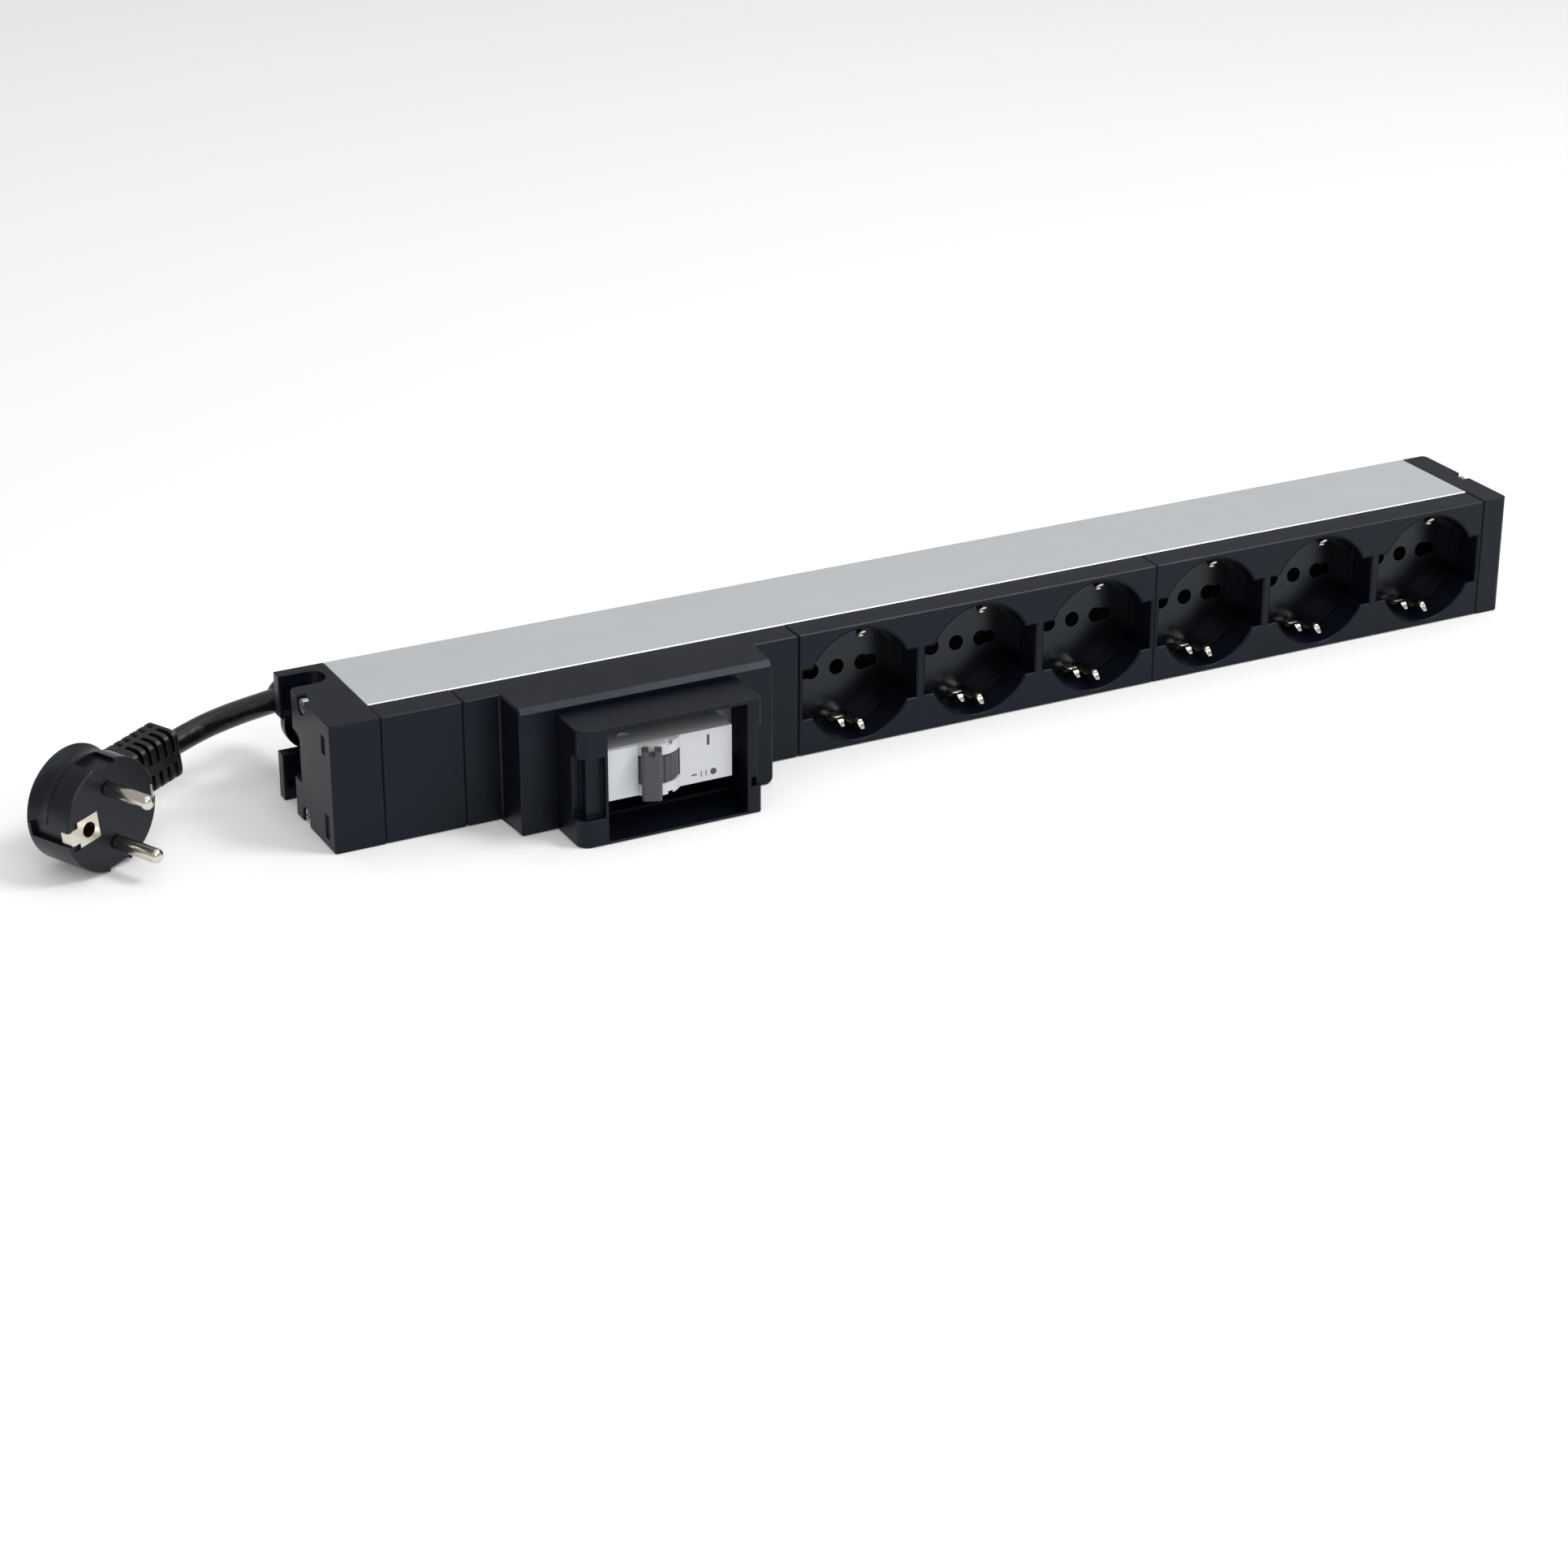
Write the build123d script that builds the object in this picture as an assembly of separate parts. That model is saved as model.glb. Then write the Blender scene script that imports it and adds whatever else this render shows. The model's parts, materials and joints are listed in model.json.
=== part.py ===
"""Rack power strip, one height unit, with a circuit breaker and six sockets.

Everything is modelled in a working frame: x from the strip's left end, y rearwards from the
front plane of the covers, z up from the underside.  Each node is moved on export so that the
origin is the middle of the underside.  Sizes are millimetres.
"""
import os
from math import cos, pi, radians, sin, tan

from build123d import *

# ---- overall sizes
HEIGHT = 43.5
DEPTH = 49.7
CABLE_CAP_WIDTH = 17.0
BLANK_WIDTH = 27.5
BREAKER_WIDTH = 118.5
SOCKET_PITCH = 46.0
SOCKETS_PER_MODULE = 3
MODULES = ("a", "b")
PLAIN_CAP_WIDTH = 10.0

# ---- clearances
SEAM = 0.15
INSET = 0.15
FIT = 0.1
RUNNING_FIT = 0.05
ROOM = 0.3

# ---- aluminium profile
PROFILE_FRONT = 11.0
PROFILE_WALL = 1.5
PROFILE_REAR_WALL = 1.5
COVER_WALL = 2.2
COVER_CHAMFER = 0.35
TONGUE_WIDTH = 6.0
TONGUE_THICK = 1.5
TONGUE_REACH = 4.5

# ---- end cap screws
SCREW_Y = 25.4
SCREW_EDGE = 2.8
SCREW_SHANK_R = 1.35
SCREW_HEAD_R = 2.45
SCREW_HEAD_LENGTH = 2.0
SCREW_POCKET_DEPTH = 2.6
SCREW_GRIP = 12.0
BOSS_HALF = 3.3
BOSS_DEPTH = 5.7
SCREW_RECESS_HALF = 1.8
SCREW_RECESS_WIDTH = 0.8
CAP_TONGUE_THICK = 2.0
CAP_TONGUE_REACH = 6.0
CAP_WALL = 2.8

# ---- cable end cap
SLOT_FRONT = 35.0
SLOT_WIDTH = 10.3
SLOT_REACH = 13.8
EAR_GAP_LOW = 16.2
EAR_GAP_HIGH = 28.9
EAR_RECESS = 2.0
SCOOP_FRONT = 27.3
SCOOP_DEPTH = 5.5
SCOOP_LOW = 13.5
SCOOP_HIGH = 30.0
SHALLOW_SLOTS = ((32.0, 38.0), (3.0, 11.0))
SHALLOW_DEPTH = 0.8

# ---- cable elbow behind the cable end cap
ELBOW_X = 13.5
HUB_R = 6.8
HUB_FRONT = 44.2
FLANGE_R = 9.3
FLANGE_STANDOFF = 4.3
FLANGE_THICK = 3.6
ELBOW_REACH = 27.6
ELBOW_R = 6.5
ELBOW_BORE_R = 5.0
DISH_DEPTH = 2.2
WIRE_R = 1.3
WIRE_BEND = 2.2
CORE_OFFSET = 2.9
CORE_HIGH = 33.0
CORE_LOW = 12.0
CORE_TURN_X = 30.0

# ---- cable route, from inside the elbow to inside the plug's sleeve
CABLE_R = 4.0
SLEEVE_SOCKET = 3.0
CABLE_POINTS = [
    (13.16, 77.12, 21.77),
    (-1.4, 70.0, 23.3),
    (-12.0, 64.6, 24.25),
    (-24.66, 58.13, 24.54),
    (-37.58, 51.75, 22.9),
]

# ---- plug
PLUG_CENTRE = (-64.08, 21.25, 18.65)
PLUG_HEADING = -63.71
PLUG_ROLL = 6.5
PLUG_R = 18.6
PLUG_DEPTH = 20.0
PLUG_AXIS_DEPTH = 15.61
PLUG_REACH = 40.5
SLEEVE_START = 19.0
SLEEVE_WIDTH = 17.0
SLEEVE_DEPTH = 14.0
SLEEVE_SLOT_START = 3.0
SLEEVE_SLOT_PITCH = 3.4
SLEEVE_SLOT_WIDTH = 1.5
PIN_R = 2.4
PIN_LENGTH = 19.0
PIN_ROOT_R = 2.0
PIN_ROOT_DEPTH = 12.0
PIN_SHOULDER = 0.4
PIN_PITCH = 19.0
EARTH_HOLE_OFFSET = 10.0
EARTH_HOLE_R = 2.5
EARTH_STRIP_DEPTH = 4.0

# ---- sockets
RECESS_R = 19.75
RECESS_FLOOR = 17.0
NOTCH_WIDTH = 43.0
NOTCH_HEIGHT = 17.6
INSERT_WALL = 0.7
INSERT_FLOOR = 2.0
CHAMBER_DEPTH = 8.0
CHAMBER_HALF_X = 20.0
CHAMBER_HALF_Z = 12.0
CHAMBER_WALL = 1.2
EARTH_PIN_HOLE_R = 2.75
PIN_HOLE_R = 2.75
INNER_PIN_X = 9.5
OUTER_PIN_X = 13.0
CLIP_THICK = 0.8
CLIP_STRAP = 1.0
CLIP_STRAP_HALF = 4.6
CLIP_ARM_Z = RECESS_R - 1.95
CLIP_GRIP_Z = RECESS_R - 4.45
CLIP_GRIP_Y = 5.4
CLIP_BEND_Y = 8.6
CLIP_TIP_Y = 2.4
CLIP_PRONG_WIDTH = 2.8
CLIP_PRONG_OFFSET = 2.5
CLIP_SHORT_PRONG = 4.6
CLIP_SLOT_HALF = CLIP_PRONG_OFFSET + CLIP_PRONG_WIDTH / 2 + FIT
BAR_THICK = 0.8
BAR_WIDTH = 3.2
BAR_SETBACK = 1.8
FORK_HALF = 3.2
FORK_PRONG_Z = 3.5
EARTH_TUBE_R = 3.7
EARTH_BAR_HALF = 2.5
PIN_BRIDGE_R = 2.2
WINDOW_EDGE = 0.4

# ---- breaker housing
STEP_LEFT = 57.0
STEP_RIGHT = 145.9
STEP_FRONT = -14.9
STEP_WALL = 1.3
HOOD_LEFT = 69.5
HOOD_RIGHT = 133.0
HOOD_FRONT = -32.3
HOOD_TOP = 40.0
WINDOW_LEFT = 79.3
WINDOW_RIGHT = 127.9
WINDOW_LOW = 0.9
WINDOW_HIGH = 38.4
POCKET_LOW = 9.4
POCKET_HIGH = 30.4
HOOD_BACK_ROOM = -24.0
HOOD_SIDE_WALL = 1.8
POCKET_BACK = -26.0
POCKET_LIP = 2.6
POST_NEAR = 11.2
POST_WIDTH = 4.0
POST_FRONT = 4.0

# ---- miniature circuit breaker
BREAKER_X = 101.9
BREAKER_LENGTH = 85.0
BREAKER_THICK = 17.8
NOSE_LENGTH = 45.0
NOSE_FRONT = -28.0
SHOULDER_Y = -12.7
RAIL_Y = 31.3
RAIL_WIDTH = 35.0
RAIL_LIP = 1.0
RAIL_DEPTH = 7.5
SHELL_WALL = 1.3
TOGGLE_X = 98.5
TOGGLE_Y = -22.5
DRUM_R = 9.0
DRUM_HALF = 4.45
COLLAR_R = 9.3
HANDLE_ANGLE = 23.6
HANDLE_INNER_R = 9.7
HANDLE_OUTER_R = 13.9
HANDLE_WIDTH = 6.4
HANDLE_HALF = 8.45
TOGGLE_PIN_R = 1.2
ARM_PIVOT_X = 104.0
ARM_PIVOT_Y = -4.0
ARM_PIN_R = 1.0
TERMINAL_OFFSET = 34.9
TERMINAL_Y = 6.0
TERMINAL_HOLE_R = 3.0
FOOT_DEPTH = 2.0
FOOT_CHAMFER_Y = 26.0
GUARD_Z = 6.9
GUARD_HALF = 1.9
RIVET_R = 1.2
RIVET_HEAD_R = 2.1
RIVET_HEAD = 0.6
PIN_SEAT = 0.4
CONTACT_HALF = 1.6
CONTACT_Y = 14.4
CONTACT_REACH = 14.3
CHUTE_PLATES = 8
CHUTE_PITCH = 2.6
COIL_Y = 10.0
COIL_R = 5.5
COIL_LENGTH = 13.0
COIL_TURNS = 6
COIL_TURN_PITCH = 2.0
CLAMP_HALF = 4.5
LATCH_HALF = 4.0

# ---- places worked out from the sizes above
MIDDLE = HEIGHT / 2
MODULE_WIDTH = SOCKET_PITCH * SOCKETS_PER_MODULE
BLANK_LEFT = CABLE_CAP_WIDTH
BREAKER_LEFT = BLANK_LEFT + BLANK_WIDTH
SOCKETS_LEFT = BREAKER_LEFT + BREAKER_WIDTH
PLAIN_CAP_LEFT = SOCKETS_LEFT + MODULE_WIDTH * len(MODULES)
LENGTH = PLAIN_CAP_LEFT + PLAIN_CAP_WIDTH
COVER_BACK = PROFILE_FRONT
INSERT_BACK = RECESS_FLOOR + INSERT_FLOOR
CHAMBER_BACK = INSERT_BACK + CHAMBER_DEPTH
WINDOW_HALF_Z = CHAMBER_HALF_Z - CHAMBER_WALL - WINDOW_EDGE
PROFILE_INSIDE_BACK = DEPTH - PROFILE_REAR_WALL
SOCKET_XS = [
    SOCKETS_LEFT + SOCKET_PITCH * (i + 0.5) for i in range(SOCKETS_PER_MODULE * len(MODULES))
]
BREAKER_LOW = MIDDLE - BREAKER_THICK / 2
BREAKER_HIGH = MIDDLE + BREAKER_THICK / 2
CAVITY_LOW = BREAKER_LOW + SHELL_WALL
CAVITY_HIGH = BREAKER_HIGH - SHELL_WALL
BREAKER_LEFT_END = BREAKER_X - BREAKER_LENGTH / 2
BREAKER_RIGHT_END = BREAKER_X + BREAKER_LENGTH / 2
NOSE_LEFT = BREAKER_X - NOSE_LENGTH / 2
NOSE_RIGHT = BREAKER_X + NOSE_LENGTH / 2
RAIL_LEFT = BREAKER_X - RAIL_WIDTH / 2
RAIL_RIGHT = BREAKER_X + RAIL_WIDTH / 2
TERMINAL_XS = (BREAKER_X - TERMINAL_OFFSET, BREAKER_X + TERMINAL_OFFSET)
POLE_BAR_Y = CHAMBER_BACK - BAR_SETBACK
EARTH_BAR_Y = CHAMBER_BACK + 1.0
BARS_LEFT = SOCKETS_LEFT + 4
BARS_RIGHT = PLAIN_CAP_LEFT - 5


# ---- small builders
def block(x0, x1, y0, y1, z0, z1):
    """Box between two opposite corners."""
    return Pos((x0 + x1) / 2, (y0 + y1) / 2, (z0 + z1) / 2) * Box(x1 - x0, y1 - y0, z1 - z0)


def rod(start, direction, length, radius):
    """Cylinder of one length from a start point along a direction."""
    return Plane(origin=start, z_dir=direction).location * Pos(0, 0, length / 2) * Cylinder(radius, length)


def front_prism(sketch, y0, y1):
    """Outline drawn in x and z, given the depth from y0 to y1."""
    plane = Plane(origin=(0, y1, 0), x_dir=(1, 0, 0), z_dir=(0, -1, 0))
    return extrude(plane * sketch, amount=y1 - y0)


def side_prism(sketch, x0, x1):
    """Outline drawn in y and z, given the width from x0 to x1."""
    plane = Plane(origin=(x0, 0, 0), x_dir=(0, 1, 0), z_dir=(1, 0, 0))
    return extrude(plane * sketch, amount=x1 - x0)


def plan_prism(sketch, z0, z1):
    """Outline drawn in x and y, given the height from z0 to z1."""
    return extrude(Pos(0, 0, z0) * sketch, amount=z1 - z0)


def polygon(points):
    """Closed face through a list of corners."""
    return make_face(Polyline(*points, close=True))


def bent_strip(points, thick):
    """Outline of a strip of one thickness along an open line of points in a plane."""
    lines = [Vector(*p) for p in points]
    left = []
    right = []
    for i, here in enumerate(lines):
        before = (here - lines[i - 1]).normalized() if i > 0 else None
        after = (lines[i + 1] - here).normalized() if i < len(lines) - 1 else None
        before = before or after
        after = after or before
        mitre = (before + after).normalized()
        normal = Vector(-mitre.Y, mitre.X)
        reach = thick / 2 / (normal.X * -before.Y + normal.Y * before.X)
        left.append(here + normal * reach)
        right.append(here - normal * reach)
    corners = left + right[::-1]
    return polygon([(c.X, c.Y) for c in corners])


def tube(points, radii, radius):
    """Round bar along straight runs that are joined by tangent arcs."""
    path = FilletPolyline(*points, radius=radii)
    section = Plane(origin=path @ 0, z_dir=path % 0) * Circle(radius)
    return sweep(section, path)


def corner_radii(points):
    """Largest bend radius that the two runs beside each corner allow."""
    radii = []
    for before, here, after in zip(points, points[1:], points[2:]):
        first = Vector(*here) - Vector(*before)
        second = Vector(*after) - Vector(*here)
        half_turn = radians(first.get_angle(second) / 2)
        radii.append(0.45 * min(first.length, second.length) / tan(half_turn))
    return radii


def save(node, shape):
    """Write one node, moved so that the origin is the middle of the underside."""
    export_step(Pos(-LENGTH / 2, -DEPTH / 2, 0) * shape, f"parts/{node}.step")


# ---- profile, end caps and their screws
def screw_centres():
    """Height of the lower and the upper end cap screw."""
    return (SCREW_EDGE, HEIGHT - SCREW_EDGE)


def profile_channel():
    """Aluminium channel, open to the front, with screw bosses along its top and bottom."""
    left = CABLE_CAP_WIDTH
    right = PLAIN_CAP_LEFT
    inner_top = HEIGHT - PROFILE_WALL
    shape = block(left, right, PROFILE_FRONT, DEPTH, 0, HEIGHT)
    shape -= block(left - 1, right + 1, PROFILE_FRONT - 1, PROFILE_INSIDE_BACK, PROFILE_WALL, inner_top)
    boss_front = SCREW_Y - BOSS_HALF
    boss_back = SCREW_Y + BOSS_HALF
    shape += block(left, right, boss_front, boss_back, PROFILE_WALL / 2, BOSS_DEPTH)
    shape += block(left, right, boss_front, boss_back, HEIGHT - BOSS_DEPTH, HEIGHT - PROFILE_WALL / 2)
    for z in screw_centres():
        shape -= rod((left - 1, SCREW_Y, z), (1, 0, 0), right - left + 2, SCREW_SHANK_R + FIT / 2)
    shape -= rod((ELBOW_X, HUB_FRONT - FIT, MIDDLE), (0, 1, 0), DEPTH, HUB_R + FIT)
    return shape


def screw_pockets(outer_x, inner_x, inward):
    """Pockets, open at the top and bottom edges, with the screws' clearance holes."""
    half = SCREW_HEAD_R + 0.45
    cut = None
    for z, edge in zip(screw_centres(), (-1, HEIGHT + 1)):
        floor_x = outer_x + inward * SCREW_POCKET_DEPTH
        mouth_x = outer_x - inward
        pocket = rod((mouth_x, SCREW_Y, z), (inward, 0, 0), SCREW_POCKET_DEPTH + 1, half)
        xs = sorted((mouth_x, floor_x))
        zs = sorted((z, edge))
        pocket += block(xs[0], xs[1], SCREW_Y - half, SCREW_Y + half, zs[0], zs[1])
        reach = abs(inner_x - outer_x) + 2
        pocket += rod((mouth_x, SCREW_Y, z), (inward, 0, 0), reach, SCREW_SHANK_R + FIT)
        cut = pocket if cut is None else cut + pocket
    return cut


def end_screws(outer_x, cap_width, inward):
    """Two pan-head screws that hold one end cap on the profile."""
    shapes = []
    for z in screw_centres():
        seat_x = outer_x + inward * SCREW_POCKET_DEPTH
        head = rod((seat_x, SCREW_Y, z), (-inward, 0, 0), SCREW_HEAD_LENGTH, SCREW_HEAD_R)
        shank = cap_width - SCREW_POCKET_DEPTH + SCREW_GRIP
        shape = head + rod((seat_x, SCREW_Y, z), (inward, 0, 0), shank, SCREW_SHANK_R)
        slot_x = seat_x - inward * SCREW_HEAD_LENGTH
        xs = sorted((slot_x - inward * 1.0, slot_x + inward * 0.9))
        long = SCREW_RECESS_HALF
        short = SCREW_RECESS_WIDTH / 2
        shape -= block(xs[0], xs[1], SCREW_Y - long, SCREW_Y + long, z - short, z + short)
        shape -= block(xs[0], xs[1], SCREW_Y - short, SCREW_Y + short, z - long, z + long)
        shapes.append(shape)
    return Compound(children=shapes)


def cap_tongue_heights():
    """Lower and upper edge of the tongues that guide an end cap into the profile."""
    low = PROFILE_WALL + FIT
    high = HEIGHT - PROFILE_WALL - FIT
    return ((low, low + CAP_TONGUE_THICK), (high - CAP_TONGUE_THICK, high))


def cable_end_cap():
    """Left end cap with the bracket slot, two ears, screw pockets and the elbow's seat."""
    slot_back = SLOT_FRONT + SLOT_WIDTH
    slot_r = SLOT_WIDTH / 2
    right = CABLE_CAP_WIDTH - SEAM / 2
    cap = block(0, right, 0, DEPTH, 0, HEIGHT)
    front_edges = cap.edges().filter_by(Axis.Z).sort_by(Axis.Y)[:2].sort_by(Axis.X)
    cap = chamfer(front_edges[0], 0.6)
    slot_end = SLOT_REACH - slot_r
    cap -= block(-1, slot_end, SLOT_FRONT, slot_back, -1, HEIGHT + 1)
    cap -= rod((slot_end, SLOT_FRONT + slot_r, -1), (0, 0, 1), HEIGHT + 2, slot_r)
    lead_in = polygon([(-0.5, SLOT_FRONT - 1.7), (1.4, SLOT_FRONT + 0.2), (-0.5, SLOT_FRONT + 0.2)])
    cap -= plan_prism(lead_in, -1, HEIGHT + 1)
    cap -= block(-1, SLOT_REACH, slot_back - 0.5, DEPTH + 1, EAR_GAP_LOW, EAR_GAP_HIGH)
    slope = polygon([(-1, EAR_GAP_HIGH - 1.4), (-1, EAR_GAP_HIGH + 0.1), (SLOT_REACH, EAR_GAP_HIGH + 0.1),
                     (SLOT_REACH, EAR_GAP_HIGH - 0.1)])
    cap -= front_prism(slope, slot_back - 0.5, DEPTH + 1)
    for low, high in ((EAR_GAP_HIGH + 1.2, HEIGHT - 4.2), (4.5, EAR_GAP_LOW - 2.2)):
        cap -= block(1.4, SLOT_REACH - 0.8, slot_back - 0.5, slot_back + EAR_RECESS, low, high)
    scoop = polygon([(-0.5, SCOOP_FRONT), (SCOOP_DEPTH, SLOT_FRONT + 0.5), (-0.5, SLOT_FRONT + 0.5)])
    cap -= plan_prism(scoop, SCOOP_LOW, SCOOP_HIGH)
    cap -= rod((ELBOW_X, HUB_FRONT - FIT, MIDDLE), (0, 1, 0), DEPTH, HUB_R + FIT)
    cap -= block(3.0, CABLE_CAP_WIDTH + 1, 2.5, SLOT_FRONT - 2.5, BOSS_DEPTH + 2.6, HEIGHT - BOSS_DEPTH - 2.6)
    for low, high in SHALLOW_SLOTS:
        cap -= block(-1, SHALLOW_DEPTH, 5.0, 8.0, low, high)
    cap -= screw_pockets(0, CABLE_CAP_WIDTH, 1)
    for low, high in cap_tongue_heights():
        cap += block(right - 1.5, right + CAP_TONGUE_REACH, SCREW_Y + 7, DEPTH - 4, low, high)
    return cap


def plain_end_cap():
    """Right end cap with rounded outer corners and the screw pockets."""
    left = PLAIN_CAP_LEFT + SEAM / 2
    cap = block(left, LENGTH, 0, DEPTH, 0, HEIGHT)
    outer_edges = cap.edges().filter_by(Axis.Z).sort_by(Axis.X)[2:]
    cap = fillet(outer_edges, 2.0)
    cap -= screw_pockets(LENGTH, left, -1)
    cap -= block(left - 1, LENGTH - CAP_WALL, 2.5, SCREW_Y - 6, 7, HEIGHT - 7)
    cap -= block(left - 1, LENGTH - CAP_WALL, SCREW_Y + 6, DEPTH - 2.5, 7, HEIGHT - 7)
    for low, high in cap_tongue_heights():
        cap += block(left - CAP_TONGUE_REACH, left + 1.5, SCREW_Y + 7, DEPTH - 4, low, high)
    return cap


# ---- covers
def cover_block(left, right):
    """Solid block of one cover, with small chamfers round its front face."""
    x0 = left + SEAM / 2
    x1 = right - SEAM / 2
    z0 = INSET
    z1 = HEIGHT - INSET
    shape = block(x0, x1, 0, COVER_BACK, z0, z1)
    front = shape.faces().sort_by(Axis.Y)[0]
    return chamfer(front.edges(), COVER_CHAMFER)


def tongues(x):
    """Upper and lower snap tongue of a cover, inside the profile's walls."""
    low = PROFILE_WALL + FIT
    high = HEIGHT - PROFILE_WALL - FIT
    x0 = x - TONGUE_WIDTH / 2
    x1 = x + TONGUE_WIDTH / 2
    back = PROFILE_FRONT + TONGUE_REACH
    lower = block(x0, x1, COVER_BACK - 2, back, low, low + TONGUE_THICK)
    upper = block(x0, x1, COVER_BACK - 2, back, high - TONGUE_THICK, high)
    return lower + upper


def blank_cover():
    """Cover without an opening between the cable end cap and the breaker."""
    right = BLANK_LEFT + BLANK_WIDTH
    shape = cover_block(BLANK_LEFT, right)
    inner = COVER_WALL
    shape -= block(BLANK_LEFT + inner, right - inner, inner, COVER_BACK + 1, inner, HEIGHT - inner)
    for x in (BLANK_LEFT + BLANK_WIDTH * 0.3, BLANK_LEFT + BLANK_WIDTH * 0.7):
        shape += tongues(x)
    return shape


def opening_outline(x, radius, width, height):
    """Round recess with a rectangular notch to each side, as seen from the front."""
    return Pos(x, MIDDLE) * (Circle(radius) + Rectangle(width, height))


def socket_cover(module):
    """Cover of one module, with the openings of its sockets."""
    left = SOCKETS_LEFT + module * MODULE_WIDTH
    right = left + MODULE_WIDTH
    shape = cover_block(left, right)
    for i in range(SOCKETS_PER_MODULE):
        x = left + SOCKET_PITCH * (i + 0.5)
        shape -= front_prism(opening_outline(x, RECESS_R, NOTCH_WIDTH, NOTCH_HEIGHT), -1, COVER_BACK + 1)
        shape -= front_prism(opening_outline(x, RECESS_R + 0.3, NOTCH_WIDTH + 0.6, NOTCH_HEIGHT + 0.6), -1, 0.3)
    for i in range(SOCKETS_PER_MODULE + 1):
        x = min(max(left + SOCKET_PITCH * i, left + 5), right - 5)
        shape += tongues(x)
    return shape


# ---- sockets
def socket_insert(x):
    """Socket cup behind the cover, with the pin holes and the contact chamber."""
    recess_r = RECESS_R - 0.35
    outer_r = min(recess_r + INSERT_WALL, MIDDLE - PROFILE_WALL - SEAM)
    outer = opening_outline(x, outer_r, NOTCH_WIDTH + 2.2, NOTCH_HEIGHT + 2.2)
    inner = opening_outline(x, recess_r, NOTCH_WIDTH, NOTCH_HEIGHT)
    cup = front_prism(outer, COVER_BACK, INSERT_BACK)
    cup -= front_prism(inner, COVER_BACK - 1, RECESS_FLOOR)
    half_x = CHAMBER_HALF_X
    half_z = CHAMBER_HALF_Z
    low = MIDDLE - half_z
    high = MIDDLE + half_z
    chamber = block(x - half_x, x + half_x, INSERT_BACK - 0.5, CHAMBER_BACK, low, high)
    wall = CHAMBER_WALL
    chamber -= block(x - half_x + wall, x + half_x - wall, INSERT_BACK - 1, CHAMBER_BACK + 1,
                     low + wall, high - wall)
    cup += chamber
    window_low = MIDDLE - WINDOW_HALF_Z
    window_high = MIDDLE + WINDOW_HALF_Z
    cup -= block(x - half_x - 1, x + half_x + 1, CHAMBER_BACK - 3.5, CHAMBER_BACK + 1, window_low, window_high)
    cup -= rod((x, RECESS_FLOOR - 1, MIDDLE), (0, 1, 0), INSERT_FLOOR + 2, EARTH_PIN_HOLE_R)
    for side in (-1, 1):
        inner_x = x + side * INNER_PIN_X
        outer_x = x + side * OUTER_PIN_X
        cup -= rod((inner_x, RECESS_FLOOR - 1, MIDDLE), (0, 1, 0), INSERT_FLOOR + 2, PIN_HOLE_R)
        cup -= rod((outer_x, RECESS_FLOOR - 1, MIDDLE), (0, 1, 0), INSERT_FLOOR + 2, PIN_BRIDGE_R)
        xs = sorted((inner_x, outer_x))
        cup -= block(xs[0], xs[1], RECESS_FLOOR - 1, INSERT_BACK + 1, MIDDLE - PIN_BRIDGE_R,
                     MIDDLE + PIN_BRIDGE_R)
        slot_z = MIDDLE + side * CLIP_ARM_Z
        cup -= block(x - CLIP_SLOT_HALF, x + CLIP_SLOT_HALF, RECESS_FLOOR - 1, INSERT_BACK + 1,
                     slot_z - 1.0, slot_z + 1.0)
    strap_half = CLIP_STRAP_HALF + 0.6
    cup -= block(x - strap_half, x + strap_half, INSERT_BACK, INSERT_BACK + CLIP_STRAP + 0.6, low - 1, high + 1)
    return cup


def earth_clip(x):
    """Sprung earth clip: a strap behind the socket's floor and two arms with a short and a long prong."""
    back_y = INSERT_BACK
    reach = CLIP_ARM_Z + CLIP_THICK / 2
    strap = block(x - CLIP_STRAP_HALF, x + CLIP_STRAP_HALF, back_y, back_y + CLIP_STRAP, MIDDLE - reach,
                  MIDDLE + reach)
    clip = strap - rod((x, back_y - 1, MIDDLE), (0, 1, 0), CLIP_STRAP + 2, EARTH_PIN_HOLE_R + 0.15)
    for side in (-1, 1):
        for offset, setback in ((-CLIP_PRONG_OFFSET, CLIP_SHORT_PRONG), (CLIP_PRONG_OFFSET, 0)):
            outline = bent_strip([
                (back_y + CLIP_STRAP, MIDDLE + side * CLIP_ARM_Z),
                (CLIP_BEND_Y + setback, MIDDLE + side * CLIP_ARM_Z),
                (CLIP_GRIP_Y + setback, MIDDLE + side * CLIP_GRIP_Z),
                (CLIP_TIP_Y + setback, MIDDLE + side * CLIP_ARM_Z),
            ], CLIP_THICK)
            centre = x + offset
            clip += side_prism(outline, centre - CLIP_PRONG_WIDTH / 2, centre + CLIP_PRONG_WIDTH / 2)
    return clip


def pole_busbar(side):
    """Busbar of one pole: a strip along the sockets with a fork behind each pin hole."""
    y0 = POLE_BAR_Y
    y1 = y0 + BAR_THICK
    edge = MIDDLE + side * WINDOW_HALF_Z
    near = edge - side * BAR_WIDTH
    zs = sorted((near, edge))
    bar = block(BARS_LEFT, BARS_RIGHT, y0, y1, zs[0], zs[1])
    for x in SOCKET_XS:
        centre = x - side * (INNER_PIN_X + OUTER_PIN_X) / 2
        half = BAR_THICK / 2
        far = MIDDLE - side * (FORK_PRONG_Z + half)
        span = sorted((far, edge))
        x0 = centre - FORK_HALF
        x1 = centre + FORK_HALF
        bar += block(x0, x1, y0, y1, span[0], span[1])
        for z in (MIDDLE - FORK_PRONG_Z, MIDDLE + FORK_PRONG_Z):
            bar += block(x0, x1, INSERT_BACK + 1.4, y1, z - half, z + half)
    return bar


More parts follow.
